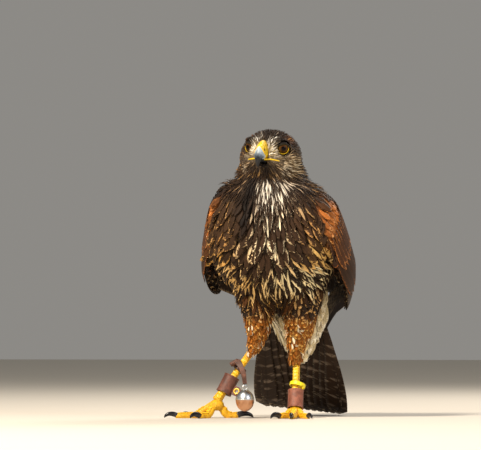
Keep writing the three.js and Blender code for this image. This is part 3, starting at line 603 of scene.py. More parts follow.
def markings(points, share):
    """The marks of the coat at places in the bird's frame, with their shares of the bird's parts."""
    x, y, z = points.T
    face = in_head(points)
    u = face[:, 2]
    ahead = smooth(15, -25, y)
    trunk, neck, head = share["trunk"], share["neck"], share["head"]
    low = smooth(212, 192, z) * smooth(140, 158, z) * trunk * ahead
    belly = smooth(188, 174, z) * smooth(142, 162, z) * trunk * smooth(40, 5, y)
    vent = smooth(140, 126, z) * smooth(-4, 12, y) * smooth(92, 78, y - 0.3 * (z - 60)) * trunk
    tuft = near(points, (44, 30, 132), (13, 26, 18)) * (trunk + share["thigh_left"]) * smooth(2, 16, y)
    throat = near(points, (5, -80, 270), (20, 42, 34)) * (neck + trunk + head)
    channel = near(points, (-13, -76, 270), (5, 40, 12)) + near(points, (-20, -78, 244), (6.5, 40, 20))
    left_cheek = (head + neck * 0.25) * near(face, (27, 15, -4), (13, 14, 10))
    paints = [
        (np.ones(len(points)), "2e2219", "8a6a45", 0.1, 0.35, 0.05, 0),
        # Breast: dark chocolate, with long pale marks in the middle and warmer ones at the sides.
        (trunk * ahead, "322113", "cda56c", 0.38, 0.85, 0.12, 0),
        (near(points, (8, -84, 218), (30, 40, 28)), None, "ecdcb6", 0.6, 0.95, None, 0.1),
        (near(points, (-48, -70, 228), (22, 40, 34)), "3d2a19", "b8874c", 0.46, 1),
        (near(points, (44, -70, 226), (16, 40, 24)), "3f2a19", "cf9a5c", 0.45, 0.85),
        # Lower breast and flanks: ochre and buff fringes.
        (low * smooth(16, 40, np.abs(x + 3)), "2a1c12", "d3a45c", 0.72, 1, 0.26, 0.08),
        (low * smooth(-24, -44, x), "271703", "b98a44", 0.5, None, None, 0.02),
        # Belly: loose cream and buff feathers with dark hearts.
        (smooth(160, 146, z) * trunk * ahead, "2a1a0b", "c2954e", 0.45, 0.7),
        (belly, "2e2014", "f0dcaa", 0.95, 1, 0.3, 0.3),
        (belly * smooth(16, -12, x), "2c1b0c", "cda463", 0.7, None, None, 0.12),
        # Back, then the cream vent, undertail coverts and flank, and the pale rump over the tail.
        (trunk * (1 - ahead), "281c14", "74492a", 0.16, 0.75, 0.12, 0),
        (vent, *CREAM, 0.5),
        (tuft * 1.6, *CREAM, 0.6),
        (smooth(150, 122, z) * smooth(60, 84, y) * trunk, "cbb88f", "f2e8d0", 0.4, 1, 0.3, 0.4),
        # Neck: long pale streaks in front, fine tawny edges round the sides and back.
        (neck, "33241a", "9c7444", 0.35, 0.8, None, 0.06),
        (throat * 1.4, "38291c", "f2e8d6", 0.45, 0.85, None, 0.34),
        (channel * 1.5, "170e08", "3a2818", None, 0.2, None, 0),
        # Head: dark crown, pale lores, buff cheeks, tawny brow.
        (head, "2c2018", "96703f", 0.3, 0.8, None, 0.05),
        (head * smooth(2, 16, u), "2a1f18", "624f3d", 0.3, 0.9, None, 0.02),
        (head * near(face, (-27, 14, -6), (14, 14, 13)), "47321f", "b98d56", 0.45, 0.95, None, 0.14),
        (left_cheek * 1.5, "7a6242", "ead3ac", 0.6, 1, None, 0.5),
    ]
    for s in (1, -1):
        paints += [
            # Brow, the shade under it, the skin below the eye, lore, the fan above it, and beard.
            (head * near(face, (s * 25, 10, 25), (7, 9, 4.5)), "6a4020", "c08440", 0.6, 1, None, 0.3),
            (head * near(face, (s * 17, 21, 23.5), (9, 9, 3)) * 1.2, "1c140e", "3a2a1c", 0.2, 0.4, None, 0),
            (head * near(face, (s * 15, 26, 3), (5.5, 9, 4)), "84704e", "fbf4e4", 0.6, 1, None, 0.45),
            (head * near(face, (s * 8, 31, 12), (5, 12, 7.5)) * 1.4, "b39f74", "faf0dc", 0.6, 1, None, 0.56),
            (head * near(face, (s * 8, 26, 24), (4, 10, 6)) * 1.2, "4c3e31", "fbf6ea", 0.5, 0.9, None, 0.42),
            (head * near(face, (s * 21, 22, -8), (7, 11, 5)), "4a3826", "f0e4cc", 0.5, 0.9, None, 0.35),
        ]
    paints += [
        # Forehead and chin.
        (head * near(face, (0, 24, 27), (3.5, 12, 6)), "2c221b", "6e5a46", None, 0.7, None, 0.05),
        (head * near(face, (0, 29, -5), (10, 10, 4)), "2a1e14", "a98a5c", 0.3, 0.7, None, 0.1),
    ]
    for wing in (share["wing_left"], share["wing_right"]):
        paints += [
            # Wings: dark feathers edged with rufous, a chestnut patch, pale edges low down, black shoulder.
            (wing, "241811", "9a5526", 0.26, 0.9, 0.12, 0),
            (wing * (smooth(262, 244, z) * smooth(176, 224, z)), "b0672c", "d8955a", 0.42, 1, 0.2),
            (wing * smooth(180, 164, z), "2f2115", "bfa377", 0.5, 0.95, 0.1),
            (wing * smooth(250, 262, z), "1d1510", "453022", 0.2, 0.7),
        ]
    spots = smooth(0.1, 0.6, np.sin(x * 0.33 + 1.1) * np.sin(z * 0.21 + 0.4) + 0.1 * np.sin(y * 0.5))
    for thigh in (share["thigh_left"], share["thigh_right"]):
        paints += [
            # Thighs: rufous with white spots, darker at the top.
            (thigh, "96591c", "dfaa5a", 0.42, 0.9, 0.2, 0.1),
            (thigh * spots, None, "f2e2c4", 0.7, None, None, 0.22),
            (thigh * smooth(116, 128, z), "2c1e13", "c79a60", 0.4, 0.8),
        ]
    # The left flank under the wing's edge is the brightest ochre of all.
    warm = near(points, (52, -55, 200), (15, 60, 13)) * smooth(-5, -25, y)
    paints += [(warm * 1.6, "4f361b", "e4b86c", 0.9, 1, 0.3, 0.34)]
    return painted(len(points), paints)


look_on_skin = markings(skin, SHARE)
print("mean ground", np.round(look_on_skin["ground"].mean(0), 3))

# %% [markdown]
# ## Where the feathers grow
# Feathers grow at even distances, close together where they are small. Darts are thrown at the skin and
# each one that lands clears a circle round itself, which gives the same even but irregular spread. The
# clearing is smallest on the face and widest on the breast and back.

# %% Roots of the coat
TRIES = 7  # darts for each feather that fits
THROAT_SPACING = 2.4  # millimetres
loose = smooth(196, 178, skin[:, 2]) * smooth(116, 132, skin[:, 2])
spacing = (6.2 - 1.3 * loose) * SHARE["trunk"] + 2.6 * SHARE["neck"] + 2.0 * SHARE["head"]
spacing += 3.6 * (SHARE["thigh_left"] + SHARE["thigh_right"])
spacing += 4.6 * (SHARE["wing_left"] + SHARE["wing_right"])
spacing -= 0.65 * front_of_face
throat_on_skin = near(skin, (6, -80, 254), (26, 40, 36)) * smooth(210, 232, skin[:, 2])
spacing += (THROAT_SPACING - spacing) * throat_on_skin * smooth(THROAT_SPACING, THROAT_SPACING + 1, spacing)
skin_triangles = np.concatenate([skin_quads[:, [0, 1, 2]], skin_quads[:, [0, 2, 3]]])
triangle_map = np.concatenate([skin_map[:, [0, 1, 2]], skin_map[:, [0, 2, 3]]])


def tree_of(points):
    """A search tree over points."""
    tree = KDTree(len(points))
    for i, place in enumerate(points.tolist()):
        tree.insert(place, i)
    tree.balance()
    return tree


def thrown_roots():
    """Roots on the skin that keep their distance: triangles, shares of their corners, and places."""
    corners = skin[skin_triangles]
    area = np.linalg.norm(np.cross(corners[:, 1] - corners[:, 0], corners[:, 2] - corners[:, 0]), axis=1) / 2
    weight = area / spacing[skin_triangles].mean(1) ** 2
    count = int(TRIES * weight.sum())
    picked = RNG.choice(len(area), count, p=weight / weight.sum())
    a, b = RNG.random((2, count))
    a, b = np.where(a + b > 1, 1 - a, a), np.where(a + b > 1, 1 - b, b)
    parts = np.stack([1 - a - b, a, b], 1)
    places = (corners[picked] * parts[..., None]).sum(1)
    reach = (spacing[skin_triangles[picked]] * parts).sum(1)
    tree = tree_of(places)
    free = np.ones(count, bool)
    kept = []
    for i in range(count):
        if free[i]:
            kept.append(i)
            for _, other, _ in tree.find_range(places[i], reach[i]):
                free[other] = False
    return picked[kept], parts[kept], places[kept]


root_triangle, root_parts, root_place = thrown_roots()


def at_roots(values):
    """A value of the skin's vertices, read at the roots."""
    corners = values[skin_triangles[root_triangle]]
    parts = root_parts if corners.ndim == 2 else root_parts[..., None]
    return (corners * parts).sum(1)


root_map = (triangle_map[root_triangle] * root_parts[..., None]).sum(1)
root_share = {part: at_roots(SHARE[part]) for part in FLESH}
root_look = markings(root_place, root_share)
root_count = len(root_place)
print(root_count, "feathers to grow")

# %% [markdown]
# ## One feather, many times
# A contour feather is a thin curved vane: narrow at the quill, widest past its middle, round or pointed at
# the tip, and frayed along its edges. A flat card would vanish edge-on, so each vane here is a closed lens
# of a few dozen faces. Its shaft is laid along the skin in short steps, turning with the lie, and rises
# from the skin at its root to the top of the coat at its tip, so that it rests on the feathers below.

# %% Vanes laid on the skin
VANE_THICK = 0.3  # millimetres at the shaft
LIE_PULL = 0.2  # how far a shaft turns with the lie at each step


def vane_grid(rows, columns):
    """For one vane: each vertex's row, place across and whether it is underneath, and the faces."""
    top = np.arange((rows + 1) * (columns + 1)).reshape(rows + 1, columns + 1)
    under = top.copy()
    inside = np.zeros_like(top, bool)
    inside[1:-1, 1:-1] = True
    under[inside] = top.size + np.arange(inside.sum())
    grid_rows, grid_columns = np.indices(top.shape)
    row = np.concatenate([grid_rows.ravel(), grid_rows[inside]])
    column = np.concatenate([grid_columns.ravel(), grid_columns[inside]])
    faces = []
    for sheet, order in ((top, (0, 1, 2, 3)), (under, (3, 2, 1, 0))):
        corners = np.stack([sheet[:-1, :-1], sheet[:-1, 1:], sheet[1:, 1:], sheet[1:, :-1]], -1)
        faces.append(corners.reshape(-1, 4)[:, order])
    return row, column / columns * 2 - 1, np.arange(len(row)) >= top.size, np.concatenate(faces)


def on_skin(points):
    """The nearest place of the skin for each point, the way out of it there, and the lie there."""
    found = [skin_tree.find_nearest(p) for p in points.tolist()]
    index = np.array([f[2] for f in found])
    return np.array([f[0][:] for f in found]), face_normals[index], face_lie[index]


def followed(places, way, lengths, stations):
    """Shafts stepped along the skin: the place, the way out and the way on at each station."""
    at, out, _ = on_skin(places)
    track = [(at, out, tangent(way, out))]
    at = places
    for step in np.diff(stations):
        step = (lengths * step)[:, None]
        straight = at + way * step
        spot, turned, local = on_skin(straight)
        # Past an edge of the skin the vane goes straight on instead of wrapping round.
        hangs = ((turned * out).sum(1) < 0.35) | (np.linalg.norm(spot - straight, axis=1) > step[:, 0])
        hangs = hangs[:, None]
        at = np.where(hangs, straight, spot)
        out = np.where(hangs, out, unit(turned + out))
        way = tangent(np.where(hangs, way, way * (1 - LIE_PULL) + local * LIE_PULL), out)
        track.append((at, out, way))
    return [np.stack(part, 1) for part in zip(*track)]


def outline(stations, widest, point):
    """Half width at each station, as a share of the greatest: widest where asked, and pointed or round."""
    rise = 0.22 + 0.78 * smooth(0, 1, stations[None] / widest[:, None])
    over = np.clip((stations[None] - widest[:, None]) / (1 - widest[:, None]), 0, 1)
    fall = (1 - over ** (2.2 - 0.9 * point[:, None])) ** (0.55 + 0.45 * point[:, None])
    return rise * np.clip(fall, 0.09, 1)


def vanes(name, material, track, size, looks, maps, columns, stations):
    """Joins many vanes into one object, with the values that the plumage finish reads."""
    spots, outs, ways = track
    count = len(spots)
    row, across, is_under, faces = vane_grid(len(stations) - 1, columns)
    per_vane = len(row)
    size = {key: values[:, None] for key, values in size.items()}
    half = (size["wide"] / 2 * outline(stations, size["widest"][:, 0], size["point"][:, 0]))[:, row]
    u = np.broadcast_to(across, (count, per_vane))
    along = np.broadcast_to(stations[row], (count, per_vane))
    rim = np.abs(u) > 0.99
    fray = 1 + size["fray"] * RNG.uniform(-1, 0.4, (count, per_vane)) * rim
    reach = half * (u + size["skew"] * (1 - u**2) * 0.5) * fray
    sweep = half * np.abs(u) * 0.35 * smooth(0.2, 0.9, along)
    jag = size["fray"] * half * RNG.uniform(-0.9, 0.9, (count, per_vane)) * rim
    thick = np.where(is_under, VANE_THICK, 0) * (1 - 0.6 * u**2)
    height = size["rise"] * along ** size["curve"] + size["base"] - size["camber"] * half * u**2 - thick
    points = spots[:, row] + unit(np.cross(ways, outs))[:, row] * reach[..., None]
    points = points + outs[:, row] * height[..., None] + ways[:, row] * (sweep + jag)[..., None]
    all_faces = (faces[None] + (np.arange(count) * per_vane)[:, None, None]).reshape(-1, 4)
    made = mesh_object(name, points.reshape(-1, 3), all_faces, material)
    seed = np.repeat(RNG.random(count), per_vane)
    store(made, "vane", np.stack([u.ravel(), along.ravel(), seed], 1))
    store(made, "barb", (along * size["long"] + np.abs(u) * half * 0.8).ravel())
    store(made, "edges", np.repeat(looks["edges"], per_vane, 0))
    for key in ("ground", "fringe"):
        store(made, key, np.repeat(np.hstack([looks[key], np.ones((count, 1))]), per_vane, 0))
    patch = maps["size"][:, None] * np.stack([u * 0.46, (along - 0.5) * 0.96], -1)
    flat = (maps["place"][:, None] + patch).reshape(-1, 2)
    layer = made.data.uv_layers.new(name=BAKE_MAP)
    layer.uv.foreach_set("vector", flat[all_faces.ravel()].astype(np.float32).ravel())
    return made


# %% [markdown]
# ## The finish of feathers
# Feathers are keratin, like fingernails: a matt fringe of barbs with a dull gloss where they lie close. The
# barbs run slantwise from the shaft, so the fine streaks follow a coordinate that grows along the shaft and
# towards the edges. Colour is laid down by the bird in bands along the same barbs, and so the ragged border
# of each pale fringe is cut by the same streaks. Real barbs stand 0.3 mm apart; here they are drawn at about
# 1 mm, or they would be too fine to see.

# %% Plumage and down
BARB = 1.0  # millimetres between drawn barbs
BARS = 12  # faint bars on each tail feather
BAR_GREY = "857464"


def plumage(name, roughness, from_v, bars=0.0):
    """Keratin vanes: barbs make them matt and streaky, with a dull gloss and a fringe from from_v on."""
    made, tree = new_material(name)
    vane, edges = (node(tree, ATTRIBUTE, attribute_name=n).outputs["Vector"] for n in ("vane", "edges"))
    ground, fringe = (node(tree, ATTRIBUTE, attribute_name=n) for n in ("ground", "fringe"))
    barb = node(tree, ATTRIBUTE, attribute_name="barb").outputs["Fac"]
    u, v, seed = node(tree, SPLIT, [vane]).outputs
    left, right, tip = node(tree, SPLIT, [edges]).outputs
    # Streaks run with the barbs, and each feather has its own.
    drawn = node(tree, MATH, [barb, 1 / BARB], **TIMES)
    shuffled = node(tree, MATH, [seed, 97.0], **TIMES)
    place = node(tree, JOIN, [drawn, u, shuffled])
    streak = node(tree, NOISE, {"Vector": place, "Scale": 1.0, "Detail": 2.0})
    ragged = node(tree, MATH, [streak, 1.5, -0.75], **TIMES_PLUS)
    # The fringe: where a place's share across, or along, passes what is left of the middle.
    past_left = node(tree, MATH, [u, -1.0, left], **TIMES_PLUS)
    past_right = node(tree, MATH, [u, 1.0, right], **TIMES_PLUS)
    past = node(tree, MATH, [past_left, past_right], operation="MAXIMUM")
    past_side = node(tree, MATH, [past, ragged], **PLUS)
    past_tip = node(tree, MATH, [ragged, 0.3, v], **TIMES_PLUS)
    past_tip = node(tree, MATH, [past_tip, tip], **PLUS)
    side_full = node(tree, SPREAD, [past_side, 1.02, 1.26], **SOFT)
    grown = node(tree, SPREAD, [v, from_v, from_v + 0.25], **SOFT)
    side_share = node(tree, MATH, [side_full, grown], **TIMES)
    tip_share = node(tree, SPREAD, [past_tip, 1.02, 1.12], **SOFT)
    share = node(tree, MATH, [side_share, tip_share], operation="MAXIMUM")
    shown = node(tree, MIX, {0: share, 6: ground, 7: fringe}, **RGBA).outputs[2]
    if bars:
        # Broken bars: bands of a wave along the shaft that fade in and out.
        wobble = node(tree, MATH, [streak, 3.5, seed], **TIMES_PLUS)
        wave_in = node(tree, MATH, [v, 2 * math.pi * BARS, wobble], **TIMES_PLUS)
        wave = node(tree, MATH, [wave_in], operation="SINE")
        patches = node(tree, NOISE, {"Vector": place, "Scale": 0.16, "Detail": 1.0})
        band = node(tree, SPREAD, [wave, -0.3, 0.7], **SOFT)
        patch = node(tree, SPREAD, [patches, 0.47, 0.66, 0.0, bars], **SOFT)
        bar = node(tree, MATH, [band, patch], **TIMES)
        shown = node(tree, MIX, {0: bar, 6: shown, 7: colour(BAR_GREY)}, **RGBA).outputs[2]
    # Darker between the barbs and along the shaft, and each feather a little lighter or darker.
    barbs = node(tree, MATH, [streak, 1.1, 0.42], **TIMES_PLUS)
    own = node(tree, MATH, [seed, 0.3, 0.85], **TIMES_PLUS)
    across = node(tree, MATH, [u], operation="ABSOLUTE")
    shaft = node(tree, SPREAD, [across, 0.02, 0.12, 0.65, 1.0], **SOFT)
    shade = node(tree, MATH, [barbs, own], **TIMES)
    shade = node(tree, MATH, [shade, shaft], **TIMES)
    grey = node(tree, GREY, [shade, shade, shade])
    shown = node(tree, MIX, {0: 1.0, 6: shown, 7: grey}, **TINT).outputs[2]
    bump = node(tree, BUMP, {"Strength": 0.35, "Distance": 0.4 * MM, "Height": streak})
    gloss = {"Roughness": roughness, "IOR": 1.54, "Specular IOR Level": 0.14}
    return surfaced(made, {"Base Color": shown, "Normal": bump} | gloss)


def down(name):
    """Soft short down: a dull surface with no gloss at all, in the coat's colours, halved as painted shade
    under the coat.
    """
    made, tree = new_material(name)
    place = node(tree, COORDINATES).outputs["Object"]
    tufts = node(tree, NOISE, {"Vector": place, "Scale": 900.0, "Detail": 3.0})
    ground, fringe = (node(tree, ATTRIBUTE, attribute_name=n) for n in ("ground", "fringe"))
    share = node(tree, SPREAD, [tufts, 0.5, 0.75], **SOFT)
    shown = node(tree, MIX, {0: share, 6: ground, 7: fringe}, **RGBA).outputs[2]
    # The coat's colours are halved here: painted shade under the coat.
    shaded_under_coat = node(tree, MIX, {0: 1.0, 6: shown, 7: (0.5, 0.5, 0.5, 1.0)}, **TINT).outputs[2]
    bump = node(tree, BUMP, {"Strength": 0.8, "Distance": 1.0 * MM, "Height": tufts})
    return surfaced(made, {"Base Color": shaded_under_coat, "Normal": bump, "Roughness": 0.9})


BODY_KERATIN = plumage("contour_feather_keratin", 0.66, 0.35)
DOWN = down("down_on_skin")

# %% [markdown]
# ## Growing the coat
# Every root now gets its feather. Length, width and tip follow the part it is on: short and narrow on the
# face, long and pointed on the neck, broad and round on the breast and back. The feathers of one part are
# joined into one object, because thousands of separate ones would be slow to handle.

# %% The skin and its coat
skin_piece = mesh_object("skin", skin, skin_quads, DOWN)
skin_layer = skin_piece.data.uv_layers.new(name=BAKE_MAP)
skin_layer.uv.foreach_set("vector", skin_map.astype(np.float32).ravel())
for key in ("ground", "fringe"):
    store(skin_piece, key, np.hstack([look_on_skin[key], np.ones((len(skin), 1))]))
finished(skin_piece, "plumage_dark", *FLESH)

# Length and width as multiples of the spacing, then pointedness, fray, camber, and how far it strays.
HABIT_NAMES = ("long", "wide", "point", "fray", "camber", "stray")
HABIT = {
    "head": (3.5, 0.85, 0.97, 0.25, 0.2, 0.12),
    "neck": (5.6, 0.9, 0.97, 0.3, 0.2, 0.09),
    "trunk": (4.2, 1.8, 0.5, 0.35, 0.12, 0.14),
    "thigh": (3.1, 1.9, 0.15, 0.08, 0.2, 0.05),
    "wing": (3.4, 1.9, 0.15, 0.1, 0.1, 0.06),
}
PATCH = 0.003  # of the map, for the smallest feathers
HANG = 3.5  # millimetres that a vane's tip may hang off the skin
THROAT_LONG, THROAT_WIDE, FLANK_ROOTED_LONG = 16.0, 1.7, 30  # millimetres

root_spacing = at_roots(spacing)
habit = {}
for i, name in enumerate(HABIT_NAMES):
    habit[name] = sum(root_share[part] * HABIT[part.split("_")[0]][i] for part in FLESH)
habit["long"] *= root_spacing * RNG.uniform(0.85, 1.2, root_count)
habit["wide"] *= root_spacing * RNG.uniform(0.85, 1.15, root_count)
habit["rise"] = (at_roots(depth) + 1.2 - 2.4 * root_share["neck"]) * RNG.uniform(0.8, 1.3, root_count)
for name, value in (("base", -0.4), ("curve", 0.8), ("skew", 0.0)):
    habit[name] = np.full(root_count, value)
streaked = at_roots(throat_on_skin)
for name, value in (("long", THROAT_LONG), ("wide", THROAT_WIDE)):
    habit[name] += (value * RNG.uniform(0.8, 1.2, root_count) - habit[name]) * streaked
habit["point"] += (0.95 - habit["point"]) * streaked
shaggy = root_share["trunk"] * at_roots(loose)
habit["point"] += shaggy * (0.85 - habit["point"])
habit["fray"] += shaggy * 0.25
habit["stray"] += shaggy * 0.16
habit["wide"] *= 1 - 0.28 * shaggy
habit["long"] *= 1 + 0.15 * shaggy
habit["widest"] = 0.62 - 0.22 * habit["point"]
flank = near(root_place, (44, 30, 132), (11, 24, 15)) * smooth(2, 16, root_place[:, 1])
habit["long"] += (FLANK_ROOTED_LONG - habit["long"]) * np.clip(flank * 1.4, 0, 1)


def with_fringes(look, count):
    """Each feather's own fringe: some have none, and most are wider on one side."""
    shown = RNG.random(count) < look["chance"]
    sides = look["wide"][:, None] * RNG.uniform(0.3, 1.5, (count, 2))
    bare = RNG.random((count, 2)) < 0.5
    sides = np.where(bare, 0, sides) * shown[:, None]
    tips = look["tip"] * RNG.uniform(0.4, 1.4, count) * shown * (RNG.random(count) < 0.6)
    tint = RNG.uniform(0.8, 1.25, (count, 1))
    pale = (RNG.random(count) < look["pale"])[:, None]
    ground = np.where(pale, look["fringe"] * 0.92, look["ground"])
    return {
        "is_pale": pale[:, 0],
        "ground": np.clip(ground * tint, 0, 1),
        "fringe": np.clip(look["fringe"] * RNG.uniform(0.85, 1.15, (count, 1)), 0, 1),
        "edges": np.hstack([np.minimum(sides, 1.2), tips[:, None]]),
    }


root_fringes = with_fringes(root_look, root_count)
habit["wide"] *= 1 - 0.5 * (smooth(3.0, 6.0, habit["wide"]) * root_fringes.pop("is_pale"))
root_out = unit(at_roots(skin_normals))
root_way = tangent(at_roots(lie), root_out)
turn = RNG.normal(0, 1, root_count) * habit.pop("stray")
root_side = np.cross(root_out, root_way)
root_way = unit(root_way * np.cos(turn)[:, None] + root_side * np.sin(turn)[:, None])
root_owner = np.argmax(np.stack([root_share[part] for part in FLESH], 1), 1)

# %% [markdown]
# Some roots are left out: at the corners of the mouth and the bare heels, and where the wing's long
# feathers cover the skin, since short feathers there would only poke through them.

# %% Roots that stay bare
GAPE = [(3.4, 37, 2.6), (9, 33.6, 2.6), (15, 30.4, 1.6), (20, 27.2, 0.4)]  # the left one, in the head's frame
GAPE_CLEAR = 2.6  # millimetres
HEELS = {"left": (19.5, 33, 93), "right": (-22, 17, 90)}  # bare joints, where no thigh feather starts
HEEL_CLEAR = 20  # millimetres
COVERED_FROM = {"outside": 0.22, "inside": 0.56}  # shares of the wing's length
root_in_head = in_head(root_place)
root_in_head[:, 0] = np.abs(root_in_head[:, 0])
gape_line = line_through(GAPE)(np.linspace(0, 1, 30))
kept = np.linalg.norm(root_in_head[:, None] - gape_line[None], axis=2).min(1) > GAPE_CLEAR


def on_wing(wing, chosen):
    """The nearest u of the wing for each root, and whether the root is on the outer face."""
    grid = np.meshgrid(np.linspace(0, 1, 70), np.linspace(0, 1, 16), indexing="ij")
    u, v = (part.ravel() for part in grid)
    tree = tree_of(wing_place(wing, u, v))
    found = np.array([tree.find(place)[1] for place in root_place[chosen].tolist()])
    return u[found], (root_out[chosen] * wing_outward(wing, u, v)[found]).sum(1) > 0.25


for side, heel in HEELS.items():
    of_thigh = root_owner == FLESH.index(f"thigh_{side}")
    behind_heel = (root_place[:, 1] > heel[1] - 2) & (root_place[:, 2] < heel[2] + 16)
    kept[of_thigh & behind_heel & (np.linalg.norm(root_place - heel, axis=1) < HEEL_CLEAR)] = False
    chosen = np.flatnonzero(root_owner == FLESH.index(f"wing_{side}"))
    u, outer = on_wing(side, chosen)
    kept[chosen[(outer & (u > COVERED_FROM["outside"])) | (u > COVERED_FROM["inside"])]] = False
    habit["long"][chosen[~outer]] *= 0.6
print(int(kept.sum()), "feathers kept")

# %% [markdown]
# What is left grows part by part: in coarse steps on the head, in finer ones elsewhere.

# %% The coat, part by part
FINE = np.array([0, 0.2, 0.42, 0.62, 0.8, 0.93, 1])
COARSE = np.array([0, 0.3, 0.62, 0.86, 1])


def grow(name, slot, chosen, stations, columns):
    """Grows the coat of one part."""
    track = followed(root_place[chosen], root_way[chosen], habit["long"][chosen], stations)
    held = np.linalg.norm(track[0][:, -1] - on_skin(track[0][:, -1])[0], axis=1) < HANG
    chosen, track = np.flatnonzero(chosen)[held], [part[held] for part in track]
    size = {key: values[chosen] for key, values in habit.items()}
    looks = {key: values[chosen] for key, values in root_fringes.items()}
    patch = np.maximum(root_spacing[chosen] * 0.8 / map_across, PATCH)
    maps = {"place": root_map[chosen], "size": np.stack([patch, patch], 1)}
    finished(vanes(name, BODY_KERATIN, track, size, looks, maps, columns, stations), slot)


is_front = root_place[:, 1] < 0
owner = {part: (root_owner == i) & kept for i, part in enumerate(FLESH)}
grow("coat_head", "plumage_dark", owner["head"], COARSE, 2)
grow("coat_neck", "plumage_dark", owner["neck"], FINE, 2)
grow("coat_breast", "plumage_dark", owner["trunk"] & is_front, FINE, 4)
grow("coat_back", "plumage_dark", owner["trunk"] & ~is_front, FINE, 4)
for side in ("left", "right"):
    grow(f"coat_thigh_{side}", "plumage_leg", owner[f"thigh_{side}"], FINE, 2)
    grow(f"coat_wing_{side}", "plumage_wing", owner[f"wing_{side}"], FINE, 4)

# %% [markdown]
# ## Flight feathers
# A folded wing is a deck of long stiff feathers: primaries from the hand, secondaries from the forearm, and
# rows of coverts over their roots. They lie on the wing's own surface, so each one is given a start and an
# end there, by the share of the wing's length and width, and a height in the deck. The innermost feather is
# on top, as when the bird slides them shut.

# %% Decks of long feathers
FLIGHT_STATIONS = np.linspace(0, 1, 13)
COVERT_STATIONS = np.linspace(0, 1, 8)


def deck_track(wing, starts, ends, heights, stations):
    """Shafts over a wing's face between two rows of places, one height in the deck each."""
    share = stations[None, :, None]
    u, v = (starts[:, None] * (1 - share) + ends[:, None] * share).reshape(-1, 2).T
    outs = wing_outward(wing, u, v)
    spots = wing_place(wing, u, v) + outs * np.repeat(heights, len(stations))[:, None]
    spots = spots.reshape(len(starts), -1, 3)
    ways = unit(np.gradient(spots, axis=1))
    return spots, tangent(outs.reshape(spots.shape), ways), ways


def feather_sizes(track, wide, rise=0.4, point=0.35, fray=0.03, skew=0.3, widest=0.6):
    """The sizes of a deck of feathers, given once for all of them."""
    long = np.linalg.norm(np.diff(track[0], axis=1), axis=2).sum(1)
    named = {"wide": wide, "rise": rise, "point": point, "fray": fray, "skew": skew, "widest": widest}
    named |= {"camber": 0.12, "base": 0.0, "curve": 1.0}
    return {name: np.full(len(long), float(value)) for name, value in named.items()} | {"long": long}


def strips(count):
    """Side by side strips of the map, one for each feather."""
    place = np.stack([(np.arange(count) + 0.5) / count, np.full(count, 0.5)], 1)
    return {"place": place, "size": np.tile([1 / count, 1.0], (count, 1))}


def looks_of(count, ground, fringe, edges, vary=0.12):
    """One marking for a deck of feathers, a little lighter or darker from one to the next."""
    tint = RNG.uniform(1 - vary, 1 + vary, (count, 1))
    return {
        "ground": np.clip(tone(ground) * tint, 0, 1),
        "fringe": np.tile(tone(fringe), (count, 1)),
        "edges": np.tile(np.asarray(edges, float), (count, 1)),
    }


# Each row of the wing: how many feathers, the u and v of the first one's start and end, and of the last
# one's, their heights in the deck and their width, then the colours and the edges.
WING_ROWS = {
    "primaries": (
        8, (0.34, 0.06, 0.85, 0.3), (0.4, 0.4, 1.0, 0.78), (-4.2, -1.8), 18,
        "4a3521", "b39c7c", (0.26, 0.22, 0.04),
    ),
    "secondaries": (
        11, (0.34, 0.04, 0.62, 0.12), (0.3, 0.96, 0.72, 1.02), (-1.6, 0.8), 25,
        "2e1f14", "8b7a66", (0.08, 0.08, 0.05),
    ),
    "greater_coverts": (
        14, (0.26, 0.02, 0.5, 0.06), (0.2, 1.0, 0.5, 1.04), (0.2, 1.2), 17,
        "3a2413", "96592a", (0.26, 0.26, 0.1),
    ),
    "median_coverts": (
        19, (0.18, 0.06, 0.35, 0.08), (0.1, 1.0, 0.32, 1.04), (1.0, 1.8), 11,
        "4f2f18", "b8763c", (0.4, 0.3, 0.14),
    ),
}
FLIGHT_KERATIN = plumage("flight_feather_keratin", 0.6, 0.0)


def row_of(wing, row, stations):
    """The shafts of one row of a wing."""
    count, first, last, heights = row[:4]
    share = np.linspace(0, 1, count)[:, None]
    route = np.array(first) * (1 - share) + np.array(last) * share
    ends = route[:, 2:] + RNG.normal(0, 0.006, (count, 2))
    return deck_track(wing, route[:, :2], ends, np.linspace(*heights, count), stations)


def merged(items):
    """Several sets of named arrays as one."""
    return {name: np.concatenate([item[name] for item in items]) for name in items[0]}


def wing_deck(name, wing, row_names, stations):
    """One object from several rows of a wing."""
    rows = [WING_ROWS[row] for row in row_names]
    tracks = [row_of(wing, row, stations) for row in rows]
    sizes = merged([feather_sizes(track, row[4]) for track, row in zip(tracks, rows)])
    looks = merged([looks_of(row[0], *row[5:]) for row in rows])
    track = [np.concatenate(parts) for parts in zip(*tracks)]
    return vanes(f"{name}_{wing}", FLIGHT_KERATIN, track, sizes, looks, strips(len(track[0])), 6, stations)


for wing in ("left", "right"):
    deck = wing_deck("primaries", wing, ("primaries", "secondaries"), FLIGHT_STATIONS)
    finished(deck, "plumage_flight", f"primaries_{wing}")
    deck = wing_deck("wing_coverts", wing, ("greater_coverts", "median_coverts"), COVERT_STATIONS)
    finished(deck, "plumage_wing")

# %% [markdown]
# Behind the left thigh hangs a tuft of long pale flank feathers. They hang free of the skin, so they are
# set along a line in the air, each with its own small turn.

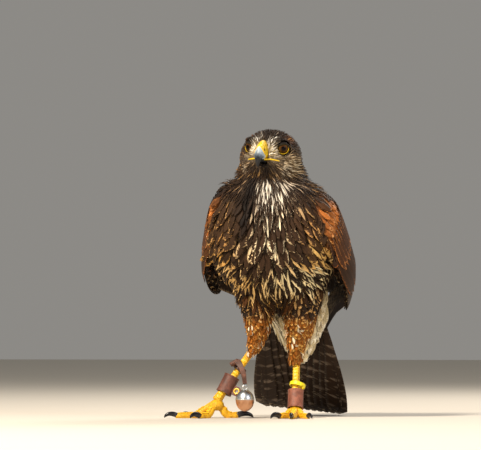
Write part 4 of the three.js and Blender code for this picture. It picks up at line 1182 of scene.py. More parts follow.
# %% Pale flank feathers
FLANK_TOP, FLANK_LOW = np.array([52.0, 38, 154]), np.array([36.0, 54, 92])  # behind the left thigh
FLANK_COUNT, FLANK_LONG, FLANK_WIDE, FLANK_FACING = 34, 28, 8, [0.45, -0.9, 0]
flank_share = np.sort(RNG.random(FLANK_COUNT)) * 0.75
flank_run = FLANK_LOW - FLANK_TOP
flank_starts = FLANK_TOP + flank_run * flank_share[:, None] + RNG.normal(0, (2.6, 2.0, 1.0), (FLANK_COUNT, 3))
flank_way = unit(unit(flank_run) + RNG.normal(0, 0.09, (FLANK_COUNT, 3)))
spots = flank_starts[:, None] + flank_way[:, None] * (FINE * FLANK_LONG)[None, :, None]
ways = np.broadcast_to(flank_way[:, None], spots.shape)
track = (spots, unit(np.cross(np.cross(ways, FLANK_FACING), ways)), ways)
sizes = feather_sizes(track, FLANK_WIDE, point=0.7, fray=0.35, skew=0.0, widest=0.4)
looks = looks_of(FLANK_COUNT, "dccba2", "f4ead0", (0.5, 0.5, 0.3), vary=0.16)
flank_piece = vanes("flank_tuft_left", BODY_KERATIN, track, sizes, looks, strips(FLANK_COUNT), 4, FINE)
finished(flank_piece, "plumage_leg")

# %% [markdown]
# ## Tail
# Twelve tail feathers close like a fan, the middle pair on top. The young bird's are dark brown with faint
# broken bars and a pale tip, and greyer below, where the camera sees them between the legs. They are laid
# over the fan's surface in the same way as the wings' decks.

# %% Tail feathers
TAIL_COUNT, TAIL_WIDE = 12, 29
TAIL_KERATIN = plumage("tail_feather_keratin", 0.55, 0.0, bars=0.6)


def tail_track():
    """Shafts of the tail feathers from the right edge to the left."""
    w = np.linspace(-0.84, 0.84, TAIL_COUNT)
    heights = -0.15 - 0.34 * np.abs(np.arange(TAIL_COUNT) - (TAIL_COUNT - 1) / 2)
    share = FLIGHT_STATIONS[None]
    across = w[:, None] * (1.08 - 0.13 * share)
    down = np.broadcast_to(0.04 + 0.93 * share, across.shape)
    spots = tail_place(down.ravel(), across.ravel()).reshape(TAIL_COUNT, -1, 3)
    spots = spots + TAIL_OUT * heights[:, None, None]
    ways = unit(np.gradient(spots, axis=1))
    return spots, tangent(TAIL_OUT + across[..., None] * 0.22 * TAIL_ACROSS, ways), ways


track = tail_track()
sizes = feather_sizes(track, TAIL_WIDE, rise=0.0, point=0.0, skew=0.2, widest=0.86)
looks = looks_of(TAIL_COUNT, "28190c", "b09a7a", (0.0, 0.0, 0.03), vary=0.08)
tail = vanes("tail_feathers", TAIL_KERATIN, track, sizes, looks, strips(TAIL_COUNT), 8, FLIGHT_STATIONS)
finished(tail, "plumage_flight", "tail")

# %% [markdown]
# ## Bill and cere
# The upper bill is one swept horn: each section runs from its ridge to its cutting edge, and the sections
# follow two curves to the hook. The cere is a waxy yellow skin over its root, whose front edge slants down
# and forward at the sides. Both are lofted from the same sections, the cere a little prouder, with the
# nostril pressed into it.

# %% Lofted bill
RIDGE = line_through(
    [(0, 27, 23.4), (0, 34, 23.0), (0, 40, 20.9), (0, 45.5, 16.9)]
    + [(0, 49.5, 11.2), (0, 51.2, 4), (0, 50.6, -2.5), (0, 49.2, -6)]
)
CUTTING_EDGE = line_through(
    [(0, 22, 2.6), (0, 29, 2.2), (0, 35, 1.8), (0, 40, 2.2)]
    + [(0, 43.6, 3.2), (0, 46, 1.4), (0, 47.4, -3), (0, 48.6, -6)]
)
BILL_HALF = [6.0, 5.8, 5.8, 6.1, 5.5, 3.6, 1.9, 0.9]
BILL_POWER, BILL_TAPER = 2.2, 0.36


def rounded(value, power):
    """A cosine or sine bent towards a box, for sections between an ellipse and a square."""
    return np.sign(value) * np.abs(value) ** (2 / power)


def ring_faces(rows, around):
    """Quads between rings that follow one another, and from the last one back to the first."""
    ring = np.arange(around)
    faces = []
    for k in range(rows):
        low, high = k * around + ring, (k + 1) % rows * around + ring
        faces.append(np.stack([low, np.roll(low, -1), np.roll(high, -1), high], 1))
    return np.concatenate(faces)


def tube_faces(stations, around):
    """Quads of a tube whose rings follow one another, with its two ends closed by strips."""
    faces = [ring_faces(stations, around)[:-around]]
    i = np.arange(around // 2 - 1)
    for start, turn in ((0, -1), ((stations - 1) * around, 1)):
        cap = start + np.stack([i, i + 1, around - 2 - i, around - 1 - i], 1)
        faces.append(cap[:, ::turn])
    return np.concatenate(faces)


def outward_faces(points, faces):
    """The faces, turned over if the closed surface would be inside out."""
    a, b, c, d = (points[faces[:, i]] for i in range(4))
    volume = (a * np.cross(b, c)).sum() + (a * np.cross(c, d)).sum()
    return faces if volume > 0 else faces[:, ::-1]


def tube_along(spots, side_half, deep_half, around=20, power=2.0, level=(0.0, 0.0, 1.0)):
    """Points and faces of a closed tube through spots, from its half widths and half depths there."""
    ways = unit(np.gradient(spots, axis=0))
    across = unit(np.cross(ways, level))
    up = unit(np.cross(across, ways))
    angle = np.linspace(0, 2 * np.pi, around, False)
    c, s = rounded(np.cos(angle), power), rounded(np.sin(angle), power)
    points = spots[:, None] + across[:, None] * (np.asarray(side_half)[:, None] * c)[..., None]
    points = (points + up[:, None] * (np.asarray(deep_half)[:, None] * s)[..., None]).reshape(-1, 3)
    return points, outward_faces(points, tube_faces(len(spots), around))


def bill_places(share, angle, grow=0.0):
    """Places on the bill, by the share of its length and the angle round it, in the head's frame."""
    top, edge = RIDGE(share), CUTTING_EDGE(share)
    middle, deep = (top + edge) / 2, (top - edge) / 2
    tall = np.linalg.norm(deep, axis=1, keepdims=True)
    deep = deep / tall * (tall + np.reshape(grow, (-1, 1)))
    half = between(BILL_HALF, share) + grow
    c, s = rounded(np.cos(angle), BILL_POWER), rounded(np.sin(angle), BILL_POWER)
    side = np.stack([half * c * (1 - BILL_TAPER * s), 0 * half, 0 * half], 1)
    return middle + side + deep * s[:, None]


def bill_tube(name, material, share_of, grow, stations, around=40):
    """A length of the bill: share_of(k, angle) gives each vertex's share of the bill's length."""
    angle = np.linspace(0, 2 * np.pi, around, False)
    k, angle = np.meshgrid(np.linspace(0, 1, stations), angle, indexing="ij")
    share = share_of(k, angle).ravel()
    local = bill_places(share, angle.ravel(), grow(k).ravel())
    points = to_bird(local)
    faces = outward_faces(points, tube_faces(stations, around))
    made = mesh_object(name, points, faces, material)
    store(made, "along", share)
    return made, local


def cere_edge(angle):
    """Where the cere ends: the horn runs up into it to a point on the ridge, and further back below."""
    level = np.sin(angle)
    return 0.47 - 0.06 * np.clip(level, 0, 1) ** 3 + 0.2 * np.clip(level, -1, 0)


# %% [markdown]
# The horn is bare keratin, polished by use: pale blue-grey at its root, where it is thin and new, and black
# at the hook. The cere is soft skin with a waxy shine and a fine pebbled grain.

# %% Finishes of horn and cere
def polished_horn(name, stops, roughness):
    """Horn polished by use: a smooth, faintly streaked gloss that darkens along the piece."""
    made, tree = new_material(name)
    along = node(tree, ATTRIBUTE, attribute_name="along").outputs["Fac"]
    place = node(tree, COORDINATES).outputs["Object"]
    grain = node(tree, NOISE, {"Vector": place, "Scale": 420.0, "Detail": 3.0})
    shift = node(tree, MATH, [grain, 0.16, -0.08], **TIMES_PLUS)
    shift = node(tree, MATH, [shift, along], **PLUS)
    shown = node(tree, RAMP, [shift], stops=stops)
    bump = node(tree, BUMP, {"Strength": 0.15, "Distance": 0.2 * MM, "Height": grain})
    gloss = {"Specular IOR Level": 0.3, "Coat Weight": 0.12, "Coat Roughness": 0.15}
    return surfaced(made, {"Base Color": shown, "Normal": bump, "Roughness": roughness} | gloss)


def waxy_skin(name, stops, grain_mm, roughness, relief=0.25):
    """Bare waxy skin: a soft shine over pebbled grain, with painted shade in its creases and where it is
    pressed in.
    """
    made, tree = new_material(name)
    place = node(tree, COORDINATES).outputs["Object"]
    grain = {"Vector": place, "Scale": 1 / (grain_mm * MM)}
    pebbles = node(tree, VORONOI, grain, feature="DISTANCE_TO_EDGE")
    # The creases between the pebbles take the ramp's darker colours: painted shade in them.
    crease = node(tree, SPREAD, [pebbles, 0.0, 0.16], **SOFT)
    cloud = node(tree, NOISE, {"Vector": place, "Scale": 160.0, "Detail": 2.0})
    both = node(tree, MATH, [crease, cloud], **PLUS)
    half = node(tree, MATH, [both, 0.5], **TIMES)
    shown = node(tree, RAMP, [half], stops=stops)
    pit_depth_and_shade = node(tree, ATTRIBUTE, attribute_name="pit_depth_and_shade").outputs["Fac"]
    # The pressed-in skin is painted dark: painted shade in the nostril's hollow.
    shown = node(tree, MIX, {0: pit_depth_and_shade, 6: shown, 7: colour("3a1408")}, **RGBA).outputs[2]
    bump = node(tree, BUMP, {"Strength": 0.5, "Distance": relief * MM, "Height": crease})
    depth_of_light = {"Subsurface Weight": 0.12, "Subsurface Radius": (0.002, 0.0012, 0.0004)}
    return surfaced(made, {"Base Color": shown, "Normal": bump, "Roughness": roughness} | depth_of_light)


CERE_WAX = waxy_skin("cere_waxy_skin", [(0.2, "d99a00"), (0.55, "f7cf08"), (1.0, "ffdf1c")], 0.7, 0.42)
HORN_STOPS = [(0.25, "b9c6cf"), (0.9, "0c0c0e"), (0.5, "a9b7c1"), (0.58, "67737e"), (0.68, "1f2226")]
HORN = polished_horn("bill_horn_keratin", HORN_STOPS, 0.3)

# %% [markdown]
# The nostril is a pit: the vertices round it move inwards, and the same measure darkens them as painted shade
# in its hollow.

# %% Upper bill, cere and nostrils
NOSTRIL_SHARE, NOSTRIL_ANGLE = 0.34, 0.3  # on the bird's left; the other mirrors it
NOSTRIL = bill_places(np.array([NOSTRIL_SHARE]), np.array([NOSTRIL_ANGLE]), 0.35)[0]
NOSTRIL_REACH, NOSTRIL_DEEP = 1.5, 0.45  # millimetres


def horn_grow(k):
    """How far the horn stands out of the bill's surface: it lies under the cere at its root."""
    return -0.25 - 0.3 * smooth(0.2, 0.0, k)


def cere_grow(k):
    """The cere stands a little proud, and dips at its two ends."""
    return 0.35 * np.sin(np.pi * k) ** 0.4 - 0.75 * smooth(0.93, 1.0, k)


horn_piece, _ = bill_tube("bill_upper_horn", HORN, lambda k, angle: 0.1 + 0.9 * k, horn_grow, 56)
finished(horn_piece, "bill_horn", "bill_upper")
cere_piece, cere_local = bill_tube(
    "cere_skin", CERE_WAX, lambda k, angle: k * cere_edge(angle), cere_grow, 44, 64
)
gap = cere_local - NOSTRIL * np.where(cere_local[:, :1] < 0, [-1, 1, 1], 1)
pit_depth_and_shade = smooth(1.25, 0.55, np.linalg.norm(gap / [1, 1, 1.25], axis=1) / NOSTRIL_REACH)
inward = np.stack([-np.sign(cere_local[:, 0]), np.full(len(pit_depth_and_shade), -0.6), 0 * pit_depth_and_shade], 1)
sunk = to_bird(cere_local + inward * (NOSTRIL_DEEP * pit_depth_and_shade)[:, None])
cere_piece.data.vertices.foreach_set("co", placed(sunk).astype(np.float32).ravel())
cere_piece.data.update()
store(cere_piece, "pit_depth_and_shade", pit_depth_and_shade)
finished(cere_piece, "cere", "cere")

# %% [markdown]
# The mouth's yellow edge runs back from the bill to below the eye, and the lower bill closes under the
# hook. Both are short tubes along a curve.

# %% Gape and lower bill
def swept(name, material, line, halves, stations, around=16, power=2.0):
    """A tube along a curve of the head's frame, from its half width and half depth at each share."""
    share = np.linspace(0, 1, stations)
    points, faces = tube_along(line(share), *halves(share), around, power)
    points = to_bird(points)
    made = mesh_object(name, points, outward_faces(points, faces), material)
    store(made, "along", np.repeat(share, around))
    store(made, "pit_depth_and_shade", np.zeros(len(points)))
    return made


def lip_halves(t):
    """The gape's half width and half depth."""
    return 1.4 - 0.5 * t, np.where(t < 1, 1.05 - 0.5 * t, 0.4)


def lower_halves(t):
    """The lower bill's half width and half depth."""
    return between([7.6, 6.6, 4.8, 2.2], t), between([2.4, 2.1, 1.7, 0.8], t)


for side, name in ((1, "left"), (-1, "right")):
    gape = line_through([(side * x, y, z) for x, y, z in GAPE])
    finished(swept(f"gape_{name}", CERE_WAX, gape, lip_halves, 18), "cere")
lower_line = line_through([(0, 18, 0.2), (0, 27, 0.4), (0, 35, 0.8), (0, 40.5, 1.4)])
lower_bill = swept("bill_lower_horn", HORN, lower_line, lower_halves, 24, 20, 2.3)
# The lower bill takes a darker stretch of the horn's ramp, grey to black: its horn colour darkened as painted
# shade under the hook.
along_before_painted_shade = np.empty(len(lower_bill.data.vertices), np.float32)
lower_bill.data.attributes["along"].data.foreach_get("value", along_before_painted_shade)
lower_bill.data.attributes["along"].data.foreach_set("value", 0.56 + 0.2 * along_before_painted_shade)
finished(lower_bill, "bill_horn", "bill_lower")

# %% [markdown]
# ## Eyes
# A hawk's eye is a large ball, mostly hidden: the lids leave a round window on it, set under a jutting brow.
# The ball carries its own pattern, worked out from the angle off its axis: black pupil, streaked brown iris,
# dark rim. The cornea bulges over them, and a clear coat gives the wet shine. A separate clear dome would
# look the same from here and needs a transparent layer, so the coat is the simpler way.

# %% Eyeballs
EYE_RADIUS = 9.0
EYE_PLACE = np.array([16.8, 12.6, 14.6])  # side, forward, up in the head's frame
GAZE_ASIDE, GAZE_DOWN = 29, 1  # degrees
PUPIL, IRIS = 13.5, 36.5  # degrees off the axis of the eye
RAMP_END = 60  # degrees that the colours of the ball are spread over
EYE_STATIONS, EYE_AROUND, EYE_POLE = 56, 56, 0.012


def eye_axes(side):
    """The way the eye looks, the way up and the way towards its front corner, in the head's frame."""
    aside, fall = math.radians(GAZE_ASIDE), math.radians(GAZE_DOWN)
    level = math.cos(fall)
    gaze = np.array([side * math.sin(aside) * level, math.cos(aside) * level, -math.sin(fall)])
    up = unit(np.array([0.0, 0, 1]) - gaze * gaze[2])
    front = np.cross(up, gaze) * side
    return gaze, up, front if front[1] > 0 else -front


def eye_shell(side, polar, around, radius):
    """Places round an eye from the angle off its axis, the angle round it and the distance out."""
    gaze, up, front = eye_axes(side)
    flat = front * np.cos(around)[:, None] + up * np.sin(around)[:, None]
    local = gaze * np.cos(polar)[:, None] + flat * np.sin(polar)[:, None]
    return EYE_PLACE * [side, 1, 1] + local * radius[:, None]


def wet_eye(name):
    """The ball of an eye: its own colours dull, under a clear wet coat that gives a small sharp highlight."""
    made, tree = new_material(name)
    off = node(tree, ATTRIBUTE, attribute_name="polar").outputs["Fac"]
    place = node(tree, COORDINATES).outputs["Object"]
    rays = node(tree, NOISE, {"Vector": place, "Scale": 700.0, "Detail": 2.0})
    shift = node(tree, MATH, [rays, 5.0, -2.5], **TIMES_PLUS)
    shift = node(tree, MATH, [shift, off], **PLUS)
    share = node(tree, MATH, [shift, 1 / RAMP_END], **TIMES)
    pupil, iris = PUPIL / RAMP_END, IRIS / RAMP_END
    stops = [(pupil - 0.015, "030202"), (iris + 0.02, "0c0705"), (pupil + 0.02, "2a180a"), (0.38, "4a3014")]
    stops += [(0.52, "6b4a20"), (iris - 0.03, "3c2610")]
    shown = node(tree, RAMP, [share], stops=stops)
    coat = {"Coat Weight": 0.45, "Coat Roughness": 0.02, "Coat IOR": 1.34}
    return surfaced(made, {"Base Color": shown, "Roughness": 0.6, "Specular IOR Level": 0.0} | coat)


WET_EYE = wet_eye("wet_eye")
for side, name in ((1, "left"), (-1, "right")):
    polar = np.linspace(EYE_POLE, math.pi - EYE_POLE, EYE_STATIONS)
    around = np.linspace(0, 2 * math.pi, EYE_AROUND, False)
    polar, around = (part.ravel() for part in np.meshgrid(polar, around, indexing="ij"))
    radius = EYE_RADIUS + 0.7 * smooth(42, 8, np.degrees(polar))
    points = to_bird(eye_shell(side, polar, around, radius))
    faces = outward_faces(points, tube_faces(EYE_STATIONS, EYE_AROUND))
    ball = mesh_object(f"eyeball_{name}", points, faces, WET_EYE)
    store(ball, "polar", np.degrees(polar))
    finished(ball, "eye", f"eye_{name}")

# %% [markdown]
# The lids are a soft ring that hugs the ball: a dark wet edge, a bright yellow swelling, then bare skin that
# runs under the face's feathers. Above the eye the swelling and the skin are darker: painted shade under the
# brow. The brow flattens the top of the window, which gives the stern look.

# %% Eyelids
# Degrees past the window's edge, distance from the ball's middle, and how much further above the eye.
LID_ROWS = [(0, 8.6, 0), (0, 9.5, 0.2), (1.1, 9.85, 0.4), (2.8, 9.95, 0.6), (4.8, 9.85, 0.9)]
LID_ROWS += [(8, 9.7, 1.2), (16, 9.6, 1.2), (30, 8.6, 0.8)]
LID_BACK = [(29, 6.8), (1, 7.6)]  # the rows behind, which close the ring inside the head
LID_SWELL = [0, 0.15, 0.9, 1, 0.7, 0.1, 0, 0, 0, 0]  # how much of the swelling's colour each row takes
LID_AROUND = 64


def lid_skin(name):
    """Thin bare skin round the eye: folded and slightly moist, tinted at each place, with painted shade in
    its folds and under the brow.
    """
    made, tree = new_material(name)
    rim = node(tree, ATTRIBUTE, attribute_name="tint").outputs["Color"]
    place = node(tree, COORDINATES).outputs["Object"]
    # The folds darken towards their borders: painted shade in the folds.
    folds = node(tree, VORONOI, {"Vector": place, "Scale": 1400.0})
    shade = node(tree, MATH, [folds, -0.5, 1.15], **TIMES_PLUS)
    grey = node(tree, GREY, [shade, shade, shade])
    shown = node(tree, MIX, {0: 1.0, 6: rim, 7: grey}, **TINT).outputs[2]
    bump = node(tree, BUMP, {"Strength": 0.4, "Distance": 0.2 * MM, "Height": folds})
    return surfaced(made, {"Base Color": shown, "Normal": bump, "Roughness": 0.7, "Specular IOR Level": 0.2})


LID_SKIN = lid_skin("eyelid_bare_skin")


def lid_ring(side, name):
    """The lids of one eye as a closed ring."""
    around = np.linspace(0, 2 * math.pi, LID_AROUND, False)
    brow = np.clip(np.cos(around - math.radians(75)), 0, 1)
    window = 38.5 - 15 * brow**1.5 + 2 * np.clip(np.cos(around), 0, 1) ** 3
    rows = [(window + more, far + shelf * brow**2) for more, far, shelf in LID_ROWS]
    rows += [(window + more, np.full(LID_AROUND, far)) for more, far in LID_BACK]
    points = [eye_shell(side, np.radians(off), around, far) for off, far in rows]
    points = to_bird(np.concatenate(points))
    faces = outward_faces(points, ring_faces(len(rows), LID_AROUND))
    made = mesh_object(f"eyelids_{name}", points, faces, LID_SKIN)
    # Above the eye the swelling and the bare skin take dark tones: painted shade under the brow.
    below = smooth(0.3, -0.3, np.sin(around))[:, None]
    swell = below * tone("f4c60c") + (1 - below) * tone("2e2712")
    skin_tone_with_brow_shade = below * tone("3a2a1c") + (1 - below) * tone("140e0a")
    tint = []
    for i, share in enumerate(LID_SWELL):
        tint.append(swell * share + (tone("1a120c") if i < 2 else skin_tone_with_brow_shade) * (1 - share))
    store(made, "tint", np.hstack([np.concatenate(tint), np.ones((len(points), 1))]))
    finished(made, "cere")


lid_ring(1, "left")
lid_ring(-1, "right")

# %% [markdown]
# ## Legs and feet
# The bare shank and toes are one leathery skin over bone and pads. Tubes along the toes' lines, the shank
# and a round palm are joined by a voxel remesh, which blends their roots like flesh, and the soles are
# pressed flat on the floor. A subdivided cage would take long to model for eight toes.

# %% Sizes of the legs
LEGS = {
    "left": {
        "heel": HEELS["left"], "foot": (22, 3, 13),
        "toes": {"inner": -26, "middle": 4, "outer": 32, "hind": 190},
    },
    "right": {
        "heel": HEELS["right"], "foot": (-69, -2, 20),
        "toes": {"inner": -28, "middle": -70, "outer": -110, "hind": 104},
    },
}
SHANK_SIDE, SHANK_DEEP, SHANK_POWER = 4.2, 5.0, 2.3
SHANK_SWELL = [1.25, 1.05, 0.96, 0.95, 1, 1.12, 1.35]
TOES = {
    "inner": {"length": 33, "thick": 4.6, "claw": 22},
    "middle": {"length": 48, "thick": 4.8, "claw": 18},
    "outer": {"length": 38, "thick": 4.3, "claw": 15},
    "hind": {"length": 25, "thick": 4.9, "claw": 24},
}
PADS = [1.15, 1.02, 0.9, 0.98, 0.84, 0.92, 0.78, 0.86, 0.62]
SOLE, PALM_RADIUS, PALM_DEEP, PALM_BELOW = 0.5, 8.6, 6.6, 5.0
LEG_VOXEL = 0.6  # millimetres
OFF_FLOOR = 0.05  # millimetres under the soles and claws


def eased(values, share):
    """A value between evenly spread numbers, a little flatter at each of them."""
    at = np.clip(np.asarray(share, float), 0, 1) * (len(values) - 1)
    low = np.minimum(at.astype(int), len(values) - 2)
    part = at - low
    part = 0.4 * part**2 * (3 - 2 * part) + 0.6 * part
    values = np.asarray(values, float)
    return values[low] + (values[low + 1] - values[low]) * part


def leg_ends(leg):
    """Where a shank starts and ends."""
    return np.array(LEGS[leg]["heel"], float), np.array(LEGS[leg]["foot"], float)


def toe_way(leg, toe):
    """The way a toe points on the floor."""
    angle = math.radians(LEGS[leg]["toes"][toe])
    return np.array([math.sin(angle), -math.cos(angle), 0])


def toe_radius(toe, share):
    """A toe's thickness on its way: thicker at each pad."""
    return TOES[toe]["thick"] * eased(PADS, share)


def toe_line(leg, toe):
    """A toe's middle line, from the palm down to the floor."""
    x, y, high = LEGS[leg]["foot"]
    way, length = toe_way(leg, toe), TOES[toe]["length"]
    heights = {0.02: high - 3.5, 0.25: high * 0.45 + 1.8}
    for share in (0.5, 0.75, 1):
        heights[share] = float(toe_radius(toe, share)) * math.cos(math.pi / 6) - SOLE
    return line_through([np.array([x, y, z]) + way * length * share for share, z in heights.items()])


def all_in_one(solids):
    """Points and faces of several closed solids as one set."""
    counts = np.cumsum([0] + [len(points) for points, _ in solids])
    faces = [faces + count for (_, faces), count in zip(solids, counts)]
    return np.concatenate([points for points, _ in solids]), np.concatenate(faces)


def blended(solids, voxel, times=3):
    """Solids melted into one smooth surface of small quads."""
    rough = mesh_object("rough", *all_in_one(solids), LEG_KERATIN)
    mesh = remeshed(rough.data, voxel)
    bpy.data.objects.remove(rough)
    return relaxed(coordinates(mesh), edge_pairs(mesh), times), corners_of(mesh)


def leg_solids(leg):
    """The tubes of a leg: shank, palm and toes."""
    heel, foot = leg_ends(leg)
    share = np.linspace(0, 1, 40)
    swell = eased(SHANK_SWELL, share)
    spots = heel + (foot - heel) * share[:, None]
    shank = tube_along(spots, SHANK_SIDE * swell, SHANK_DEEP * swell, 24, SHANK_POWER, (0, 1, 0))
    angle = np.linspace(0.05, math.pi - 0.05, 16)
    rise = foot - [0, 0, PALM_BELOW] + np.array([0, 0, PALM_DEEP]) * np.cos(angle)[:, None]
    palm = tube_along(rise, PALM_RADIUS * np.sin(angle), PALM_RADIUS * np.sin(angle), 24, 2, (0, 1, 0))
    solids = [shank, palm]
    share = np.linspace(0, 1, 44)
    for toe in TOES:
        radius = toe_radius(toe, share) * (0.97 - 0.45 * smooth(0.965, 1.02, share))
        solids.append(tube_along(toe_line(leg, toe)(share), radius, radius, 20))
    return solids


def piece(name, solid, material, slot, *nodes):
    """One finished piece from a solid's points and faces."""
    finished(mesh_object(name, *solid, material), slot, *nodes)


LEG_STOPS = [(0.15, "a87000"), (0.95, "f4c41c"), (0.5, "e4aa04")]
LEG_KERATIN = waxy_skin("scaly_leg_skin", LEG_STOPS, 1.9, 0.48, relief=0.6)

for leg in ("left", "right"):
    points, quads = blended(leg_solids(leg), LEG_VOXEL)
    points[:, 2] = np.maximum(points[:, 2], OFF_FLOOR)
    piece(f"leg_skin_{leg}", (points, quads), LEG_KERATIN, "leg_skin", f"shank_{leg}", f"foot_{leg}")

# %% [markdown]
# ## Scutes and bristles
# The front of the shank and the tops of the toes carry a row of overlapping plates, and the bare skin
# between eye and bill carries fine dark bristles. Both are one small shape repeated along a line or over a
# patch, so one Geometry Nodes tree sets a shape on points, turned by two directions that each point brings
# along. Scattering them by hand would freeze their number and size.

# %% A tree that sets a shape on points
def repeating_tree():
    """The tree: points with the attributes way, out and size each get one copy of the shape."""
    tree = bpy.data.node_groups.new("one_shape_on_every_point", "GeometryNodeTree")
    inputs = {"Points": "Geometry", "Shape": "Object", "Finish": "Material", "Scale": "Float"}
    inputs |= {"Unevenness": "Float", "Seed": "Int"}
    for name, kind in inputs.items():
        tree.interface.new_socket(name, in_out="INPUT", socket_type=f"NodeSocket{kind}")
    tree.interface.new_socket("Pieces", in_out="OUTPUT", socket_type="NodeSocketGeometry")
    given = node(tree, "NodeGroupInput").outputs
    attribute, vector = "GeometryNodeInputNamedAttribute", {"data_type": "FLOAT_VECTOR"}
    way, out, size = (node(tree, attribute, [name], **vector) for name in ("way", "out", "size"))
    axes = {"primary_axis": "Z", "secondary_axis": "Y"}
    facing = node(tree, "FunctionNodeAxesToRotation", [out, way], **axes)
    less = node(tree, MATH, [1.0, given["Unevenness"]], operation="SUBTRACT")
    spread = {2: less, 3: 1.0, "Seed": given["Seed"]}
    chance = node(tree, "FunctionNodeRandomValue", spread, data_type="FLOAT")
    scale = node(tree, MATH, [chance.outputs[1], given["Scale"]], **TIMES)
    sized = node(tree, "ShaderNodeVectorMath", {0: size, "Scale": scale}, operation="SCALE")
    shape = node(tree, "GeometryNodeObjectInfo", {"Object": given["Shape"]})
    copies = {"Points": given["Points"], "Instance": shape.outputs["Geometry"]}
    copies |= {"Rotation": facing, "Scale": sized}
    set_out = node(tree, "GeometryNodeInstanceOnPoints", copies)
    real = node(tree, "GeometryNodeRealizeInstances", [set_out])
    dressed = node(tree, "GeometryNodeSetMaterial", {"Geometry": real, "Material": given["Finish"]})
    node(tree, "NodeGroupOutput", [dressed])
    return tree


REPEATING = repeating_tree()


def repeated(name, shape, material, spots, ways, outs, sizes, unevenness=0.15, seed=3):
    """A plain mesh of one shape repeated on every spot."""
    carrier = mesh_object("carrier", spots, np.zeros((0, 3), int), material)
    for label, values in (("way", ways), ("out", outs), ("size", np.asarray(sizes) * MM)):
        store(carrier, label, values)
    change = carrier.modifiers.new("repeat", "NODES")
    change.node_group = REPEATING
    values = {"Shape": shape, "Finish": material, "Scale": 1.0, "Unevenness": unevenness, "Seed": seed}
    for item in REPEATING.interface.items_tree:
        if item.name in values:
            change[item.identifier] = values[item.name]
    mesh = applied(carrier)
    bpy.data.objects.remove(carrier)
    return linked(name, mesh)


def unit_shape(name, section, around):
    """A closed shape of about one unit along Y, from rings: share along, half width, half height, lift."""
    spots = np.array([(0, along - 0.5, lift) for along, _, _, lift in section], float)
    points, faces = tube_along(spots, [row[1] for row in section], [row[2] for row in section], around)
    return mesh_object(name, points / MM + ORIGIN, faces, LEG_KERATIN)


# %% [markdown]
# The plates overlap down the shank and along each toe: each is longer than the space to the next.

# %% Scutes on shanks and toes
SHANK_EVERY, TOE_EVERY = 4.2, 2.9  # millimetres from plate to plate
OVERLAP = 1.25  # a plate's length over that
SHANK_PLATE_WIDE, SHANK_PLATE_THICK = 7.4, 2.4
PLATE = [(0.0, 0.2, 0.12, 0), (0.15, 0.42, 0.3, 0.03), (0.5, 0.5, 0.42, 0.08), (0.85, 0.44, 0.4, 0.16)]
PLATE += [(1.0, 0.26, 0.16, 0.16)]
SCUTE_STOPS = [(0.1, "bc7f00"), (0.95, "f6cf34"), (0.45, "ecb708")]
SCUTE_HORN = waxy_skin("scute_horn", SCUTE_STOPS, 2.6, 0.4, relief=0.2)
plate_shape = unit_shape("plate", PLATE, 10)


def scute_places(leg):
    """Where the plates lie, the way they overlap, the way out and their size."""
    heel, foot = leg_ends(leg)
    down_leg = unit(foot - heel)
    front = unit(np.cross(np.cross(down_leg, [0, -1.0, 0]), down_leg))
    share = np.arange(0.36, 0.97, SHANK_EVERY / np.linalg.norm(foot - heel))
    deep = SHANK_DEEP * eased(SHANK_SWELL, share)
    spots = heel + (foot - heel) * share[:, None] + front * (deep - 0.5)[:, None]
    size = [SHANK_PLATE_WIDE, SHANK_EVERY * OVERLAP, SHANK_PLATE_THICK]
    rows = [[spots] + [np.tile(one, (len(share), 1)) for one in (down_leg, front, size)]]
    for toe, size in TOES.items():
        share = np.arange(0.3, 0.97, TOE_EVERY / size["length"])
        line = toe_line(leg, toe)
        radius = toe_radius(toe, share)
        ahead = unit(line(np.minimum(share + 0.02, 1)) - line(share - 0.02))
        up = np.cross(unit(np.cross(ahead, [0, 0, 1.0])), ahead)
        sizes = np.stack([radius * 1.55, 0 * radius + TOE_EVERY * OVERLAP, radius * 0.5], 1)
        rows.append([line(share) + up * (radius - 0.45)[:, None], ahead, up, sizes])
    return [np.concatenate(part) for part in zip(*rows)]


for leg in ("left", "right"):
    finished(repeated(f"scutes_{leg}", plate_shape, SCUTE_HORN, *scute_places(leg), 0.12), "leg_skin")

# %% [markdown]
# The bristles start at roots of the lores and the chin, and follow the lie there, raised a little off it.

# %% Bristles of lores and chin
HAIR = [(0.0, 0.5, 0.5, 0), (0.4, 0.42, 0.42, 0.02), (0.75, 0.3, 0.3, 0.06), (1.0, 0.08, 0.08, 0.13)]
BRISTLE_THICK = 0.22  # millimetres; real ones are half as thick and would not show
hair_shape = unit_shape("hair", HAIR, 6)


def bristle_hair(name):
    """Stiff hair-like feather shafts: dark, with a slight gloss."""
    made, tree = new_material(name)
    place = node(tree, COORDINATES).outputs["Object"]
    shift = node(tree, NOISE, {"Vector": place, "Scale": 300.0})
    shown = node(tree, RAMP, [shift], stops=[(0.3, "17100b"), (0.7, "3a2a1d")])
    return surfaced(made, {"Base Color": shown, "Roughness": 0.5})


